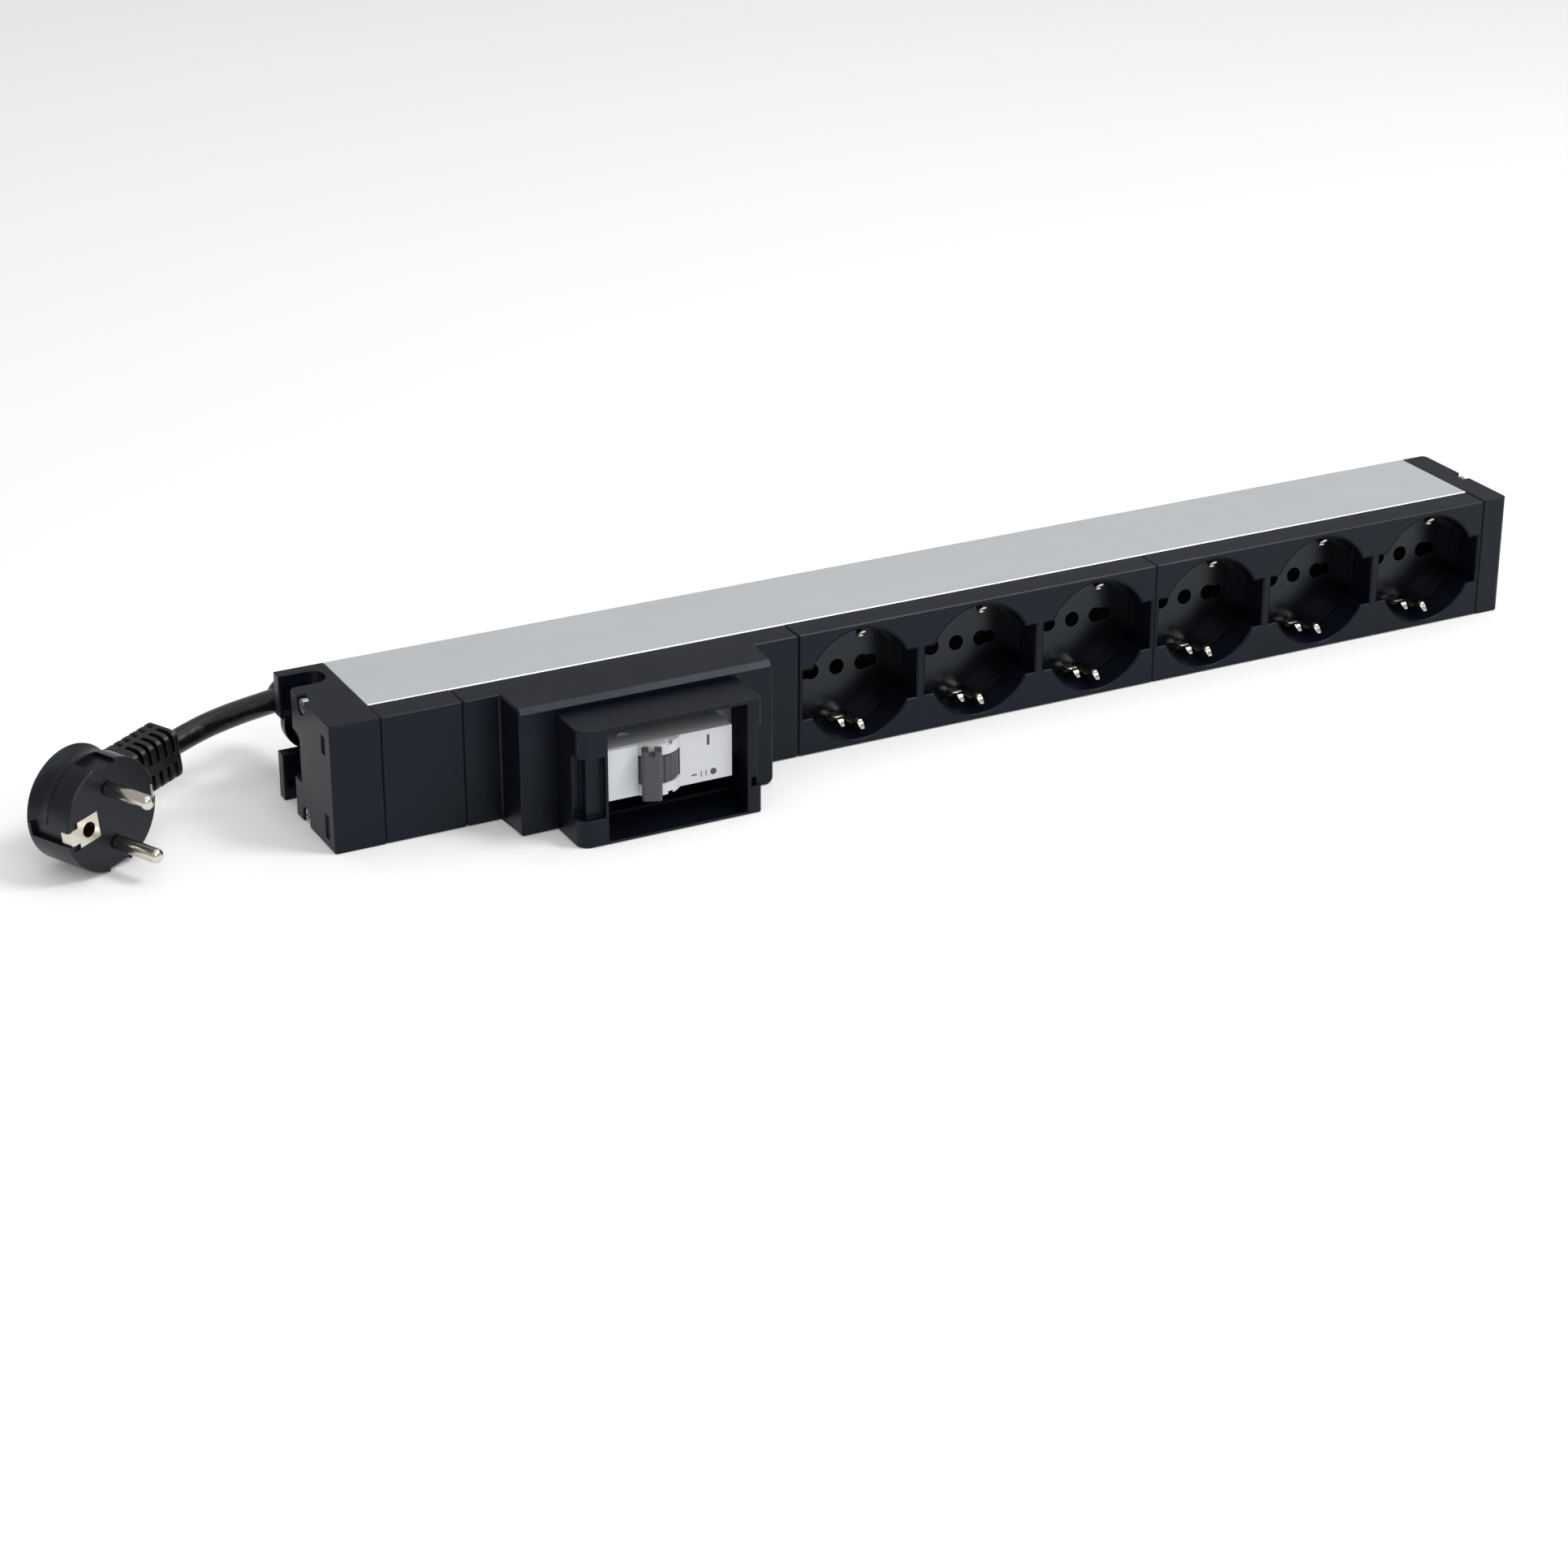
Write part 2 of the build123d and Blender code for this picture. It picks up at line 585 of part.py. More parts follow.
def earth_busbar():
    """Earth bar behind the sockets, with a tube to each earth clip."""
    strap_back = INSERT_BACK + CLIP_STRAP
    reach = EARTH_BAR_Y - strap_back
    bar = block(BARS_LEFT, BARS_RIGHT, EARTH_BAR_Y, EARTH_BAR_Y + BAR_THICK, MIDDLE - EARTH_BAR_HALF,
                MIDDLE + EARTH_BAR_HALF)
    for x in SOCKET_XS:
        bar += rod((x, strap_back, MIDDLE), (0, 1, 0), reach + BAR_THICK / 2, EARTH_TUBE_R)
        bar -= rod((x, strap_back - 1, MIDDLE), (0, 1, 0), reach + 1, EARTH_PIN_HOLE_R + RUNNING_FIT)
    return bar


# ---- breaker housing
def breaker_carrier():
    """Breaker module: flange plate, first step of the housing and the posts of the rail."""
    right = BREAKER_LEFT + BREAKER_WIDTH
    shape = cover_block(BREAKER_LEFT, right)
    step = block(STEP_LEFT, STEP_RIGHT, STEP_FRONT, 1, INSET, HEIGHT - INSET)
    top_front = step.edges().filter_by(Axis.X).sort_by(lambda e: e.center().Z - e.center().Y)[-1]
    step = chamfer(top_front, 1.7)
    low_right = step.edges().filter_by(Axis.Y).sort_by(lambda e: e.center().X - e.center().Z)[-1]
    step = fillet(low_right, 2.5)
    shape += step
    inner = COVER_WALL
    shape -= block(BREAKER_LEFT + inner, right - inner, inner, COVER_BACK + 1, inner, HEIGHT - inner)
    shape -= block(STEP_LEFT + STEP_WALL, STEP_RIGHT - STEP_WALL, STEP_FRONT + STEP_WALL, inner + 1,
                   inner, HEIGHT - inner)
    shape -= block(HOOD_LEFT + HOOD_SIDE_WALL, HOOD_RIGHT - HOOD_SIDE_WALL, STEP_FRONT - 1, STEP_FRONT + 3,
                   inner, WINDOW_HIGH)
    for x in (RAIL_LEFT + FIT, RAIL_RIGHT - POST_WIDTH - FIT):
        for side in (-1, 1):
            near = MIDDLE + side * POST_NEAR
            post = sorted((near, near + side * POST_WIDTH))
            root = sorted((near, MIDDLE + side * (MIDDLE - inner + 0.5)))
            shape += block(x, x + POST_WIDTH, POST_FRONT, RAIL_Y, post[0], post[1])
            shape += block(x, x + POST_WIDTH, POST_FRONT, COVER_BACK, root[0], root[1])
    for x in (BREAKER_LEFT + 6, right - 6):
        shape += tongues(x)
    return shape


def breaker_hood():
    """Hood round the breaker's nose, with the clip pockets in its front corners."""
    hood = block(HOOD_LEFT, HOOD_RIGHT, HOOD_FRONT, STEP_FRONT, INSET, HOOD_TOP)
    uprights = hood.edges().filter_by(Axis.Z).sort_by(Axis.Y)[:2].sort_by(Axis.X)
    hood = fillet(uprights[0], 4.0)
    uprights = hood.edges().filter_by(Axis.Z).sort_by(lambda e: e.center().X - e.center().Y)
    hood = fillet(uprights[-1], 1.2)
    hood -= block(WINDOW_LEFT, WINDOW_RIGHT, HOOD_FRONT - 1, STEP_FRONT + 1, WINDOW_LOW, WINDOW_HIGH)
    hood -= block(HOOD_LEFT + HOOD_SIDE_WALL, HOOD_RIGHT - HOOD_SIDE_WALL, HOOD_BACK_ROOM, STEP_FRONT + 1,
                  WINDOW_LOW, WINDOW_HIGH)
    pocket = block(HOOD_LEFT - 1, WINDOW_LEFT - 1.0, HOOD_FRONT - 1, POCKET_BACK, POCKET_LOW, POCKET_HIGH)
    pocket -= block(HOOD_LEFT + 3.2, WINDOW_LEFT, HOOD_FRONT + POCKET_LIP, POCKET_BACK + 1, POCKET_LOW - 1,
                    POCKET_HIGH + 1)
    hood -= pocket
    hood -= block(WINDOW_RIGHT + 1.2, HOOD_RIGHT + 1, HOOD_FRONT - 1, HOOD_FRONT + 1.2, POCKET_LOW, POCKET_HIGH)
    hood -= block(HOOD_RIGHT - 1.0, HOOD_RIGHT + 1, HOOD_FRONT - 1, POCKET_BACK, POCKET_LOW, POCKET_HIGH)
    hood -= block(WINDOW_RIGHT + 1.2, HOOD_RIGHT - 1.4, HOOD_FRONT - 1, HOOD_FRONT + 4, POCKET_LOW,
                  POCKET_LOW + POCKET_LIP)
    return hood


def din_rail():
    """Short piece of top-hat rail that carries the breaker."""
    half = RAIL_WIDTH / 2
    web = half - 5.0
    back = RAIL_Y + RAIL_DEPTH - RAIL_LIP / 2
    front = RAIL_Y + RAIL_LIP / 2
    line = [(-half, front), (-web, front), (-web, back), (web, back), (web, front), (half, front)]
    outline = Pos(BREAKER_X, 0) * bent_strip(line, RAIL_LIP)
    low = PROFILE_WALL + 0.2
    return plan_prism(outline, low, HEIGHT - low)


# ---- breaker
def shell_outline():
    """Side outline of the breaker: nose, shoulders and the foot that hooks on the rail."""
    foot = RAIL_Y + RAIL_LIP + FOOT_DEPTH
    hook = RAIL_Y + RAIL_LIP + ROOM
    clear_left = RAIL_LEFT - ROOM
    clear_right = RAIL_RIGHT + ROOM
    return polygon([
        (NOSE_LEFT, NOSE_FRONT), (NOSE_RIGHT, NOSE_FRONT), (NOSE_RIGHT, SHOULDER_Y),
        (BREAKER_RIGHT_END, SHOULDER_Y), (BREAKER_RIGHT_END, FOOT_CHAMFER_Y), (BREAKER_RIGHT_END - 5, foot),
        (clear_right, foot), (clear_right, RAIL_Y), (clear_left, RAIL_Y), (clear_left, hook),
        (RAIL_LEFT + 1.4, hook), (RAIL_LEFT + 1.4, foot), (BREAKER_LEFT_END + 5, foot),
        (BREAKER_LEFT_END, FOOT_CHAMFER_Y), (BREAKER_LEFT_END, SHOULDER_Y), (NOSE_LEFT, SHOULDER_Y),
    ])


def rivet_places():
    """Centres of the four rivets that hold the breaker's shells together."""
    return [(BREAKER_X + sx * 25.0, 26.5) for sx in (-1, 1)] + [(BREAKER_X + sx * 38.5, 14.5) for sx in (-1, 1)]


def breaker_cavity():
    """Hollow inside of the breaker's shells."""
    wall = SHELL_WALL
    floor = RAIL_Y - wall - 1.0
    cavity = polygon([
        (NOSE_LEFT + wall, NOSE_FRONT + wall), (NOSE_RIGHT - wall, NOSE_FRONT + wall),
        (NOSE_RIGHT - wall, SHOULDER_Y + wall), (BREAKER_RIGHT_END - wall, SHOULDER_Y + wall),
        (BREAKER_RIGHT_END - wall, FOOT_CHAMFER_Y - 1), (BREAKER_RIGHT_END - 6, floor),
        (BREAKER_LEFT_END + 6, floor), (BREAKER_LEFT_END + wall, FOOT_CHAMFER_Y - 1),
        (BREAKER_LEFT_END + wall, SHOULDER_Y + wall), (NOSE_LEFT + wall, SHOULDER_Y + wall),
    ])
    return plan_prism(cavity, CAVITY_LOW, CAVITY_HIGH)


def breaker_shell(upper):
    """One half of the breaker's case, with half of each opening."""
    z0, z1 = (MIDDLE, BREAKER_HIGH) if upper else (BREAKER_LOW, MIDDLE)
    shell = plan_prism(shell_outline(), z0, z1) - breaker_cavity()
    guard_z = MIDDLE + GUARD_Z if upper else MIDDLE - GUARD_Z
    guard = rod((TOGGLE_X, TOGGLE_Y, guard_z - GUARD_HALF), (0, 0, 1), 2 * GUARD_HALF, COLLAR_R)
    guard &= block(TOGGLE_X - 20, TOGGLE_X + 20, NOSE_FRONT - 10, NOSE_FRONT + 0.5, 0, HEIGHT)
    notch_z = BREAKER_HIGH if upper else BREAKER_LOW
    guard -= block(TOGGLE_X + 1.6, TOGGLE_X + 3.6, NOSE_FRONT - 10, NOSE_FRONT - 1, notch_z - 1, notch_z + 1)
    shell += guard
    half = DRUM_HALF + ROOM
    reach = DRUM_R + ROOM
    shell -= rod((TOGGLE_X, TOGGLE_Y, MIDDLE - half), (0, 0, 1), 2 * half, reach)
    seat_z = BREAKER_LOW + PIN_SEAT
    seat = BREAKER_THICK - 2 * PIN_SEAT
    shell -= rod((TOGGLE_X, TOGGLE_Y, seat_z), (0, 0, 1), seat, TOGGLE_PIN_R + RUNNING_FIT)
    shell -= rod((ARM_PIVOT_X, ARM_PIVOT_Y, seat_z), (0, 0, 1), seat, ARM_PIN_R + RUNNING_FIT)
    for x in TERMINAL_XS:
        shell -= rod((x, SHOULDER_Y - 1, MIDDLE), (0, 1, 0), SHELL_WALL + 2, TERMINAL_HOLE_R)
        outward = -1 if x < BREAKER_X else 1
        end = BREAKER_LEFT_END if outward < 0 else BREAKER_RIGHT_END
        shell -= rod((end - outward * 3, TERMINAL_Y, MIDDLE), (outward, 0, 0), 4, WIRE_R + 0.9)
    for x, y in rivet_places():
        shell -= rod((x, y, BREAKER_LOW - 1), (0, 0, 1), BREAKER_THICK + 2, RIVET_R + FIT)
        head_z = BREAKER_HIGH - RIVET_HEAD - FIT if upper else BREAKER_LOW - 1
        shell -= rod((x, y, head_z), (0, 0, 1), 1 + RIVET_HEAD + FIT, RIVET_HEAD_R + 2 * FIT)
    if upper:
        shell -= rod((NOSE_LEFT + 10.9, NOSE_FRONT + 7.6, BREAKER_HIGH - 0.9), (0, 0, 1), 2, 2.3)
    groove = LATCH_HALF + 0.4
    shell -= block(RAIL_RIGHT - 3, BREAKER_RIGHT_END + 1, RAIL_Y + 0.2, RAIL_Y + 5, MIDDLE - groove,
                   MIDDLE + groove)
    return shell


def label_flap():
    """Clear-view label plate on the left part of the breaker's nose."""
    plate = block(NOSE_LEFT + 0.3, TOGGLE_X + 0.5, NOSE_FRONT - 0.8, NOSE_FRONT, BREAKER_LOW + 0.3,
                  BREAKER_HIGH - 0.3)
    plate -= rod((TOGGLE_X, TOGGLE_Y, 0), (0, 0, 1), HEIGHT, COLLAR_R + 0.3)
    plate -= block(TOGGLE_X - 7, TOGGLE_X + 5, NOSE_FRONT - 2, NOSE_FRONT + 1, 0, HEIGHT)
    return plate


def breaker_toggle():
    """Toggle: ribbed drum on the pin and the bar that the finger moves."""
    drum = rod((TOGGLE_X, TOGGLE_Y, MIDDLE - DRUM_HALF), (0, 0, 1), 2 * DRUM_HALF, DRUM_R)
    for turn in (-14, 2, 18):
        angle = radians(-90 + turn)
        centre = (TOGGLE_X + (DRUM_R + 0.2) * cos(angle), TOGGLE_Y + (DRUM_R + 0.2) * sin(angle))
        drum -= rod((centre[0], centre[1], MIDDLE - DRUM_HALF - 1), (0, 0, 1), 2 * DRUM_HALF + 2, 0.5)
    half = HANDLE_WIDTH / 2
    bar = block(-half, half, -HANDLE_OUTER_R, -HANDLE_INNER_R, MIDDLE - HANDLE_HALF, MIDDLE + HANDLE_HALF)
    front = bar.edges().filter_by(Axis.Z).sort_by(Axis.Y)[:2]
    bar = fillet(front, 1.2)
    notch = block(-1.0, 1.0, -HANDLE_OUTER_R - 1, -HANDLE_INNER_R + 1, MIDDLE + HANDLE_HALF - 1.7,
                  MIDDLE + HANDLE_HALF + 1)
    bar -= notch
    neck = block(-half + 0.4, half - 0.4, -HANDLE_INNER_R - 0.5, -DRUM_R + 1.5, MIDDLE - DRUM_HALF,
                 MIDDLE + DRUM_HALF)
    handle = Rot(0, 0, -HANDLE_ANGLE) * (bar + neck)
    toggle = drum + Pos(TOGGLE_X, TOGGLE_Y, 0) * handle
    toggle -= rod((TOGGLE_X, TOGGLE_Y, 0), (0, 0, 1), HEIGHT, TOGGLE_PIN_R + RUNNING_FIT)
    return toggle


def pivot_pin(x, y, radius):
    """Steel pin across the breaker, held in both shells."""
    seat = PIN_SEAT + RUNNING_FIT
    return rod((x, y, BREAKER_LOW + seat), (0, 0, 1), BREAKER_THICK - 2 * seat, radius)


def contact_arm():
    """Moving contact: a lever on its own pin with the contact pad at its tip."""
    half = CONTACT_HALF
    pivot = (ARM_PIVOT_X, ARM_PIVOT_Y)
    pad_y = ARM_PIVOT_Y + CONTACT_Y
    line = [pivot, (ARM_PIVOT_X - 6.5, ARM_PIVOT_Y + 7.0), (ARM_PIVOT_X - 12.0, ARM_PIVOT_Y + 17.5)]
    arm = plan_prism(bent_strip(line, 2.4), MIDDLE - half, MIDDLE + half)
    arm += rod((pivot[0], pivot[1], MIDDLE - half - 1), (0, 0, 1), 2 * half + 2, 3.0)
    pad_x = ARM_PIVOT_X - CONTACT_REACH + FIT
    arm += block(pad_x, pad_x + 2.6, pad_y, pad_y + 3, MIDDLE - half, MIDDLE + half)
    arm -= rod((pivot[0], pivot[1], 0), (0, 0, 1), HEIGHT, ARM_PIN_R + RUNNING_FIT)
    return arm


def fixed_contact():
    """Fixed contact pad on a strip that leads to the left terminal."""
    pad_right = ARM_PIVOT_X - CONTACT_REACH
    pad_low = ARM_PIVOT_Y + CONTACT_Y
    strip_z = (MIDDLE - 2.5, MIDDLE + 2.5)
    clamp_right = TERMINAL_XS[0] + CLAMP_HALF
    root_x = clamp_right + 3.0
    line = [(pad_right - 1.6, pad_low + 4.2), (pad_right - 1.6, pad_low - 2.2), (root_x, pad_low - 2.2),
            (root_x, TERMINAL_Y - 2.0)]
    strip = plan_prism(bent_strip(line, 1.2), *strip_z)
    strip += block(pad_right - 1.4, pad_right, pad_low, pad_low + 3, MIDDLE - CONTACT_HALF,
                   MIDDLE + CONTACT_HALF)
    strip += block(clamp_right, root_x, TERMINAL_Y - 2.0, TERMINAL_Y - 0.8, *strip_z)
    return strip


def arc_chute():
    """Stack of splitter plates on a fibre back plate."""
    left = ARM_PIVOT_X - 22.0
    chute = block(left, left + CHUTE_PLATES * CHUTE_PITCH, 27.0, 28.0, CAVITY_LOW, CAVITY_HIGH)
    for i in range(CHUTE_PLATES):
        x = left + 0.5 + i * CHUTE_PITCH
        chute += block(x, x + 1.0, 17.5, 27.5, MIDDLE - 6.0, MIDDLE + 6.0)
    return chute


def trip_coil():
    """Magnetic trip coil: wound body, yoke and plunger."""
    start = ARM_PIVOT_X + 7.5
    coil = rod((start, COIL_Y, MIDDLE), (1, 0, 0), COIL_LENGTH, COIL_R)
    for i in range(COIL_TURNS):
        place = (start + 1.4 + COIL_TURN_PITCH * i, COIL_Y, MIDDLE)
        coil -= rod(place, (1, 0, 0), 0.6, COIL_R + 1) - rod(place, (1, 0, 0), 0.6, COIL_R - 0.5)
    coil += rod((start - 2.5, COIL_Y, MIDDLE), (1, 0, 0), 3.0, 1.5)
    yoke = start + COIL_LENGTH
    coil += block(yoke - 0.1, yoke + 1.4, COIL_Y - 6.5, COIL_Y + 6.5, CAVITY_LOW, CAVITY_HIGH)
    return coil


def bimetal():
    """Thermal strip between the trip coil and the right terminal."""
    root_x = TERMINAL_XS[1] - CLAMP_HALF
    line = [(root_x, TERMINAL_Y - 3.6), (root_x - 3.0, TERMINAL_Y - 3.6), (root_x - 5.0, TERMINAL_Y - 9.5),
            (ARM_PIVOT_X + 6.0, TERMINAL_Y - 9.5)]
    return plan_prism(bent_strip(line, 0.9), MIDDLE - 3.0, MIDDLE + 3.0)


def terminal_clamps():
    """Cage clamps of both terminals, open towards the ends for the wires."""
    cages = []
    for x in TERMINAL_XS:
        cage = block(x - CLAMP_HALF, x + CLAMP_HALF, TERMINAL_Y - 4.6, TERMINAL_Y + 4.0, CAVITY_LOW,
                     CAVITY_HIGH)
        cage -= block(x - 6, x + 6, TERMINAL_Y - 2.4, TERMINAL_Y + 2.8, MIDDLE - 3.4, MIDDLE + 3.4)
        cage -= rod((x, TERMINAL_Y - 6, MIDDLE), (0, 1, 0), 5, 1.7)
        cages.append(cage)
    return Compound(children=cages)


def terminal_screws():
    """Screws of both terminals, reached through the holes in the shoulders."""
    screws = []
    for x in TERMINAL_XS:
        head_y = SHOULDER_Y + 2.6
        screw = rod((x, head_y, MIDDLE), (0, 1, 0), 3.0, 2.7)
        screw += rod((x, head_y + 2.5, MIDDLE), (0, 1, 0), TERMINAL_Y - 2.0 - head_y - 2.5, 1.6)
        screw -= block(x - 1.9, x + 1.9, head_y - 1, head_y + 1.2, MIDDLE - 0.45, MIDDLE + 0.45)
        screw -= block(x - 0.45, x + 0.45, head_y - 1, head_y + 1.2, MIDDLE - 1.9, MIDDLE + 1.9)
        screws.append(screw)
    return Compound(children=screws)


def breaker_rivets():
    """Four rivets through both shells."""
    rivets = []
    for x, y in rivet_places():
        rivet = rod((x, y, BREAKER_LOW + FIT), (0, 0, 1), BREAKER_THICK - 2 * FIT, RIVET_R)
        rivet += rod((x, y, BREAKER_LOW + FIT), (0, 0, 1), RIVET_HEAD, RIVET_HEAD_R)
        rivet += rod((x, y, BREAKER_HIGH - RIVET_HEAD - FIT), (0, 0, 1), RIVET_HEAD, RIVET_HEAD_R)
        rivets.append(rivet)
    return Compound(children=rivets)


def rail_latch():
    """Sliding latch that hooks behind the rail's right lip."""
    front = RAIL_Y + RAIL_LIP + ROOM
    back = RAIL_Y + RAIL_LIP + FOOT_DEPTH
    end = BREAKER_RIGHT_END
    latch = block(RAIL_RIGHT - 1.5, end + 2.2, front, back, MIDDLE - LATCH_HALF, MIDDLE + LATCH_HALF)
    rib = LATCH_HALF - 1
    latch += block(RAIL_RIGHT + 2, end - 6, RAIL_Y + 0.5, front + 0.2, MIDDLE - rib, MIDDLE + rib)
    latch -= block(end - 1.2, end + 1.0, front - 1, back + 1, MIDDLE - 1.6, MIDDLE + 1.6)
    return latch


# ---- wiring inside
def wire(points):
    """Insulated single core along a route."""
    return tube(points, [WIRE_BEND] * (len(points) - 2), WIRE_R)


def inside_wires():
    """The four single cores between the cable, the breaker and the busbars."""
    inlet_y = HUB_FRONT + 2.4
    start_y = DEPTH + 14.0
    back_y = PROFILE_INSIDE_BACK - 4.0
    pole_y = POLE_BAR_Y + BAR_THICK / 2
    earth_y = EARTH_BAR_Y + BAR_THICK / 2
    live_z = MIDDLE + WINDOW_HALF_Z - BAR_WIDTH / 2
    neutral_z = MIDDLE - WINDOW_HALF_Z + BAR_WIDTH / 2
    left_x, right_x = TERMINAL_XS
    down_x = BREAKER_LEFT_END - 6.9
    up_x = BREAKER_RIGHT_END + 8.6
    right_room = SOCKETS_LEFT - 9.0

    def lead_in(z):
        """First part of a core: in through the elbow's hub and along the cap."""
        return [(ELBOW_X, start_y, z), (ELBOW_X, inlet_y, z), (CORE_TURN_X, inlet_y, z)]

    live_in = lead_in(MIDDLE) + [
        (46.0, back_y, MIDDLE), (down_x, back_y - 6, MIDDLE), (down_x, TERMINAL_Y, MIDDLE),
        (left_x - 1.0, TERMINAL_Y, MIDDLE),
    ]
    live_out = [
        (right_x + 1.0, TERMINAL_Y, MIDDLE), (up_x, TERMINAL_Y, MIDDLE), (up_x + 1.5, pole_y, live_z),
        (BARS_LEFT, pole_y, live_z),
    ]
    neutral = lead_in(MIDDLE - CORE_OFFSET) + [
        (52.0, back_y, CORE_LOW), (right_room - 8.0, back_y, CORE_LOW), (right_room, pole_y, neutral_z),
        (BARS_LEFT, pole_y, neutral_z),
    ]
    earth = lead_in(MIDDLE + CORE_OFFSET) + [
        (60.0, back_y, CORE_HIGH), (right_room - 14.0, back_y, CORE_HIGH), (right_room + 4.0, earth_y, MIDDLE),
        (BARS_LEFT, earth_y, MIDDLE),
    ]
    return {
        "wire_live_in": wire(live_in),
        "wire_live_out": wire(live_out),
        "wire_neutral": wire(neutral),
        "wire_earth": wire(earth),
    }


# ---- cable and plug
def cable_elbow():
    """Angled strain relief: hub in the cap, dished flange and a rounded end with the cable's hole."""
    corner = (ELBOW_X, DEPTH + ELBOW_REACH, MIDDLE)
    cable_start = Vector(*CABLE_POINTS[0])
    towards = (Vector(*CABLE_POINTS[1]) - cable_start).normalized()
    flange_y = DEPTH + FLANGE_STANDOFF
    body = rod((ELBOW_X, HUB_FRONT, MIDDLE), (0, 1, 0), flange_y + 1 - HUB_FRONT, HUB_R)
    body += rod((ELBOW_X, flange_y, MIDDLE), (0, 1, 0), FLANGE_THICK, FLANGE_R)
    dish = rod((ELBOW_X, flange_y - 1, MIDDLE), (0, 1, 0), DISH_DEPTH + 1, FLANGE_R - 0.7)
    dish -= rod((ELBOW_X, flange_y - 1, MIDDLE), (0, 1, 0), DISH_DEPTH + 1, HUB_R)
    body -= dish
    body += rod((ELBOW_X, flange_y + 2, MIDDLE), (0, 1, 0), ELBOW_REACH - FLANGE_STANDOFF - 2, ELBOW_R)
    body += Pos(*corner) * Sphere(ELBOW_R)
    body -= rod(cable_start, towards, 2 * ELBOW_R, CABLE_R + RUNNING_FIT)
    body -= rod((ELBOW_X, HUB_FRONT + 0.8, MIDDLE), (0, 1, 0), DEPTH + 18 - HUB_FRONT, ELBOW_BORE_R)
    body -= block(ELBOW_X, ELBOW_X + HUB_R + 1, HUB_FRONT + 0.8, PROFILE_INSIDE_BACK, MIDDLE - 4.6,
                  MIDDLE + 4.6)
    return body


def mains_cable():
    """Cable between the elbow and the plug, with its ends in their sockets."""
    radii = corner_radii(CABLE_POINTS)
    cable = tube(CABLE_POINTS, radii, CABLE_R)
    length = cable.volume / (pi * CABLE_R ** 2)
    print("cable bend radii", [round(r) for r in radii], "length", round(length, 1))
    return cable


def plug_plane():
    """Frame of the plug: x towards the cable, y along the pins' line, z out of its face."""
    heading = radians(PLUG_HEADING)
    roll = radians(PLUG_ROLL)
    pins = Vector(cos(heading), sin(heading), 0)
    level = Vector(-sin(heading), cos(heading), 0)
    towards_cable = level * cos(roll) + Vector(0, 0, 1) * sin(roll)
    return Plane(origin=PLUG_CENTRE, x_dir=towards_cable, z_dir=pins)


def plug_body():
    """Moulded plug body: round front, finger groove, contact grooves and the cable hump."""
    body = Pos(0, 0, -PLUG_DEPTH / 2) * Cylinder(PLUG_R, PLUG_DEPTH)
    rims = body.edges().filter_by(GeomType.CIRCLE).sort_by(Axis.Z)
    body = chamfer(rims[0], 2.2)
    body = chamfer(body.edges().filter_by(GeomType.CIRCLE).sort_by(Axis.Z)[-1], 0.4)
    groove = Pos(0, 0, -13.2) * Torus(PLUG_R + 5.4, 7.2)
    groove &= block(-30, 30, 2.0, 30, -30, 5)
    body -= groove
    hump_low = -PLUG_AXIS_DEPTH - SLEEVE_DEPTH / 2
    hump_high = -PLUG_AXIS_DEPTH + SLEEVE_DEPTH / 2
    hump = block(-8, SLEEVE_START, -SLEEVE_WIDTH / 2, SLEEVE_WIDTH / 2, hump_low, hump_high)
    hump = fillet(hump.edges().filter_by(Axis.X), 3.0)
    body += hump
    for side in (-1, 1):
        body -= block(*sorted((side * 16.8, side * 20)), -2.5, 2.5, -16.5, 1)
        body -= block(-4.5, 4.5, *sorted((side * 16.8, side * 20)), -8.0, 1)
        body -= rod((0, side * PIN_PITCH / 2, -PIN_ROOT_DEPTH), (0, 0, 1), PIN_ROOT_DEPTH, PIN_ROOT_R)
    body -= Pos(-EARTH_HOLE_OFFSET, 0, -8) * Cylinder(EARTH_HOLE_R + 0.5, 16)
    body -= block(-17.0, -5.6, -4.6, 4.6, -0.9, 1)
    return body


def sleeve_outline(margin):
    """Section of the strain relief sleeve, reduced by a margin."""
    width = SLEEVE_WIDTH - 2 * margin
    depth = SLEEVE_DEPTH - 2 * margin
    return RectangleRounded(width, depth, 3.2 - margin / 2)


def plug_sleeve():
    """Strain relief sleeve on the plug, with its rows of slots."""
    plane = Plane(origin=(SLEEVE_START, 0, -PLUG_AXIS_DEPTH), x_dir=(0, 1, 0), z_dir=(1, 0, 0))
    length = PLUG_REACH - SLEEVE_START
    sleeve = extrude(plane * sleeve_outline(0), amount=length)
    tip = sleeve.faces().sort_by(Axis.X)[-1]
    sleeve = chamfer(tip.edges(), 2.0)
    core = extrude(plane * sleeve_outline(2.2), amount=length)
    for i in range(5):
        x = SLEEVE_START + SLEEVE_SLOT_START + SLEEVE_SLOT_PITCH * i
        ring = block(x, x + SLEEVE_SLOT_WIDTH, -20, 20, -40, 5) - core
        ring -= block(x - 1, x + 3, -1.6, 1.6, -40, 5)
        ring -= block(x - 1, x + 3, -20, 20, -PLUG_AXIS_DEPTH - 1.5, -PLUG_AXIS_DEPTH + 0.2)
        sleeve -= ring
    socket_x = PLUG_REACH - SLEEVE_SOCKET
    sleeve -= rod((socket_x, 0, -PLUG_AXIS_DEPTH), (1, 0, 0), SLEEVE_SOCKET + 1, CABLE_R + RUNNING_FIT)
    return sleeve


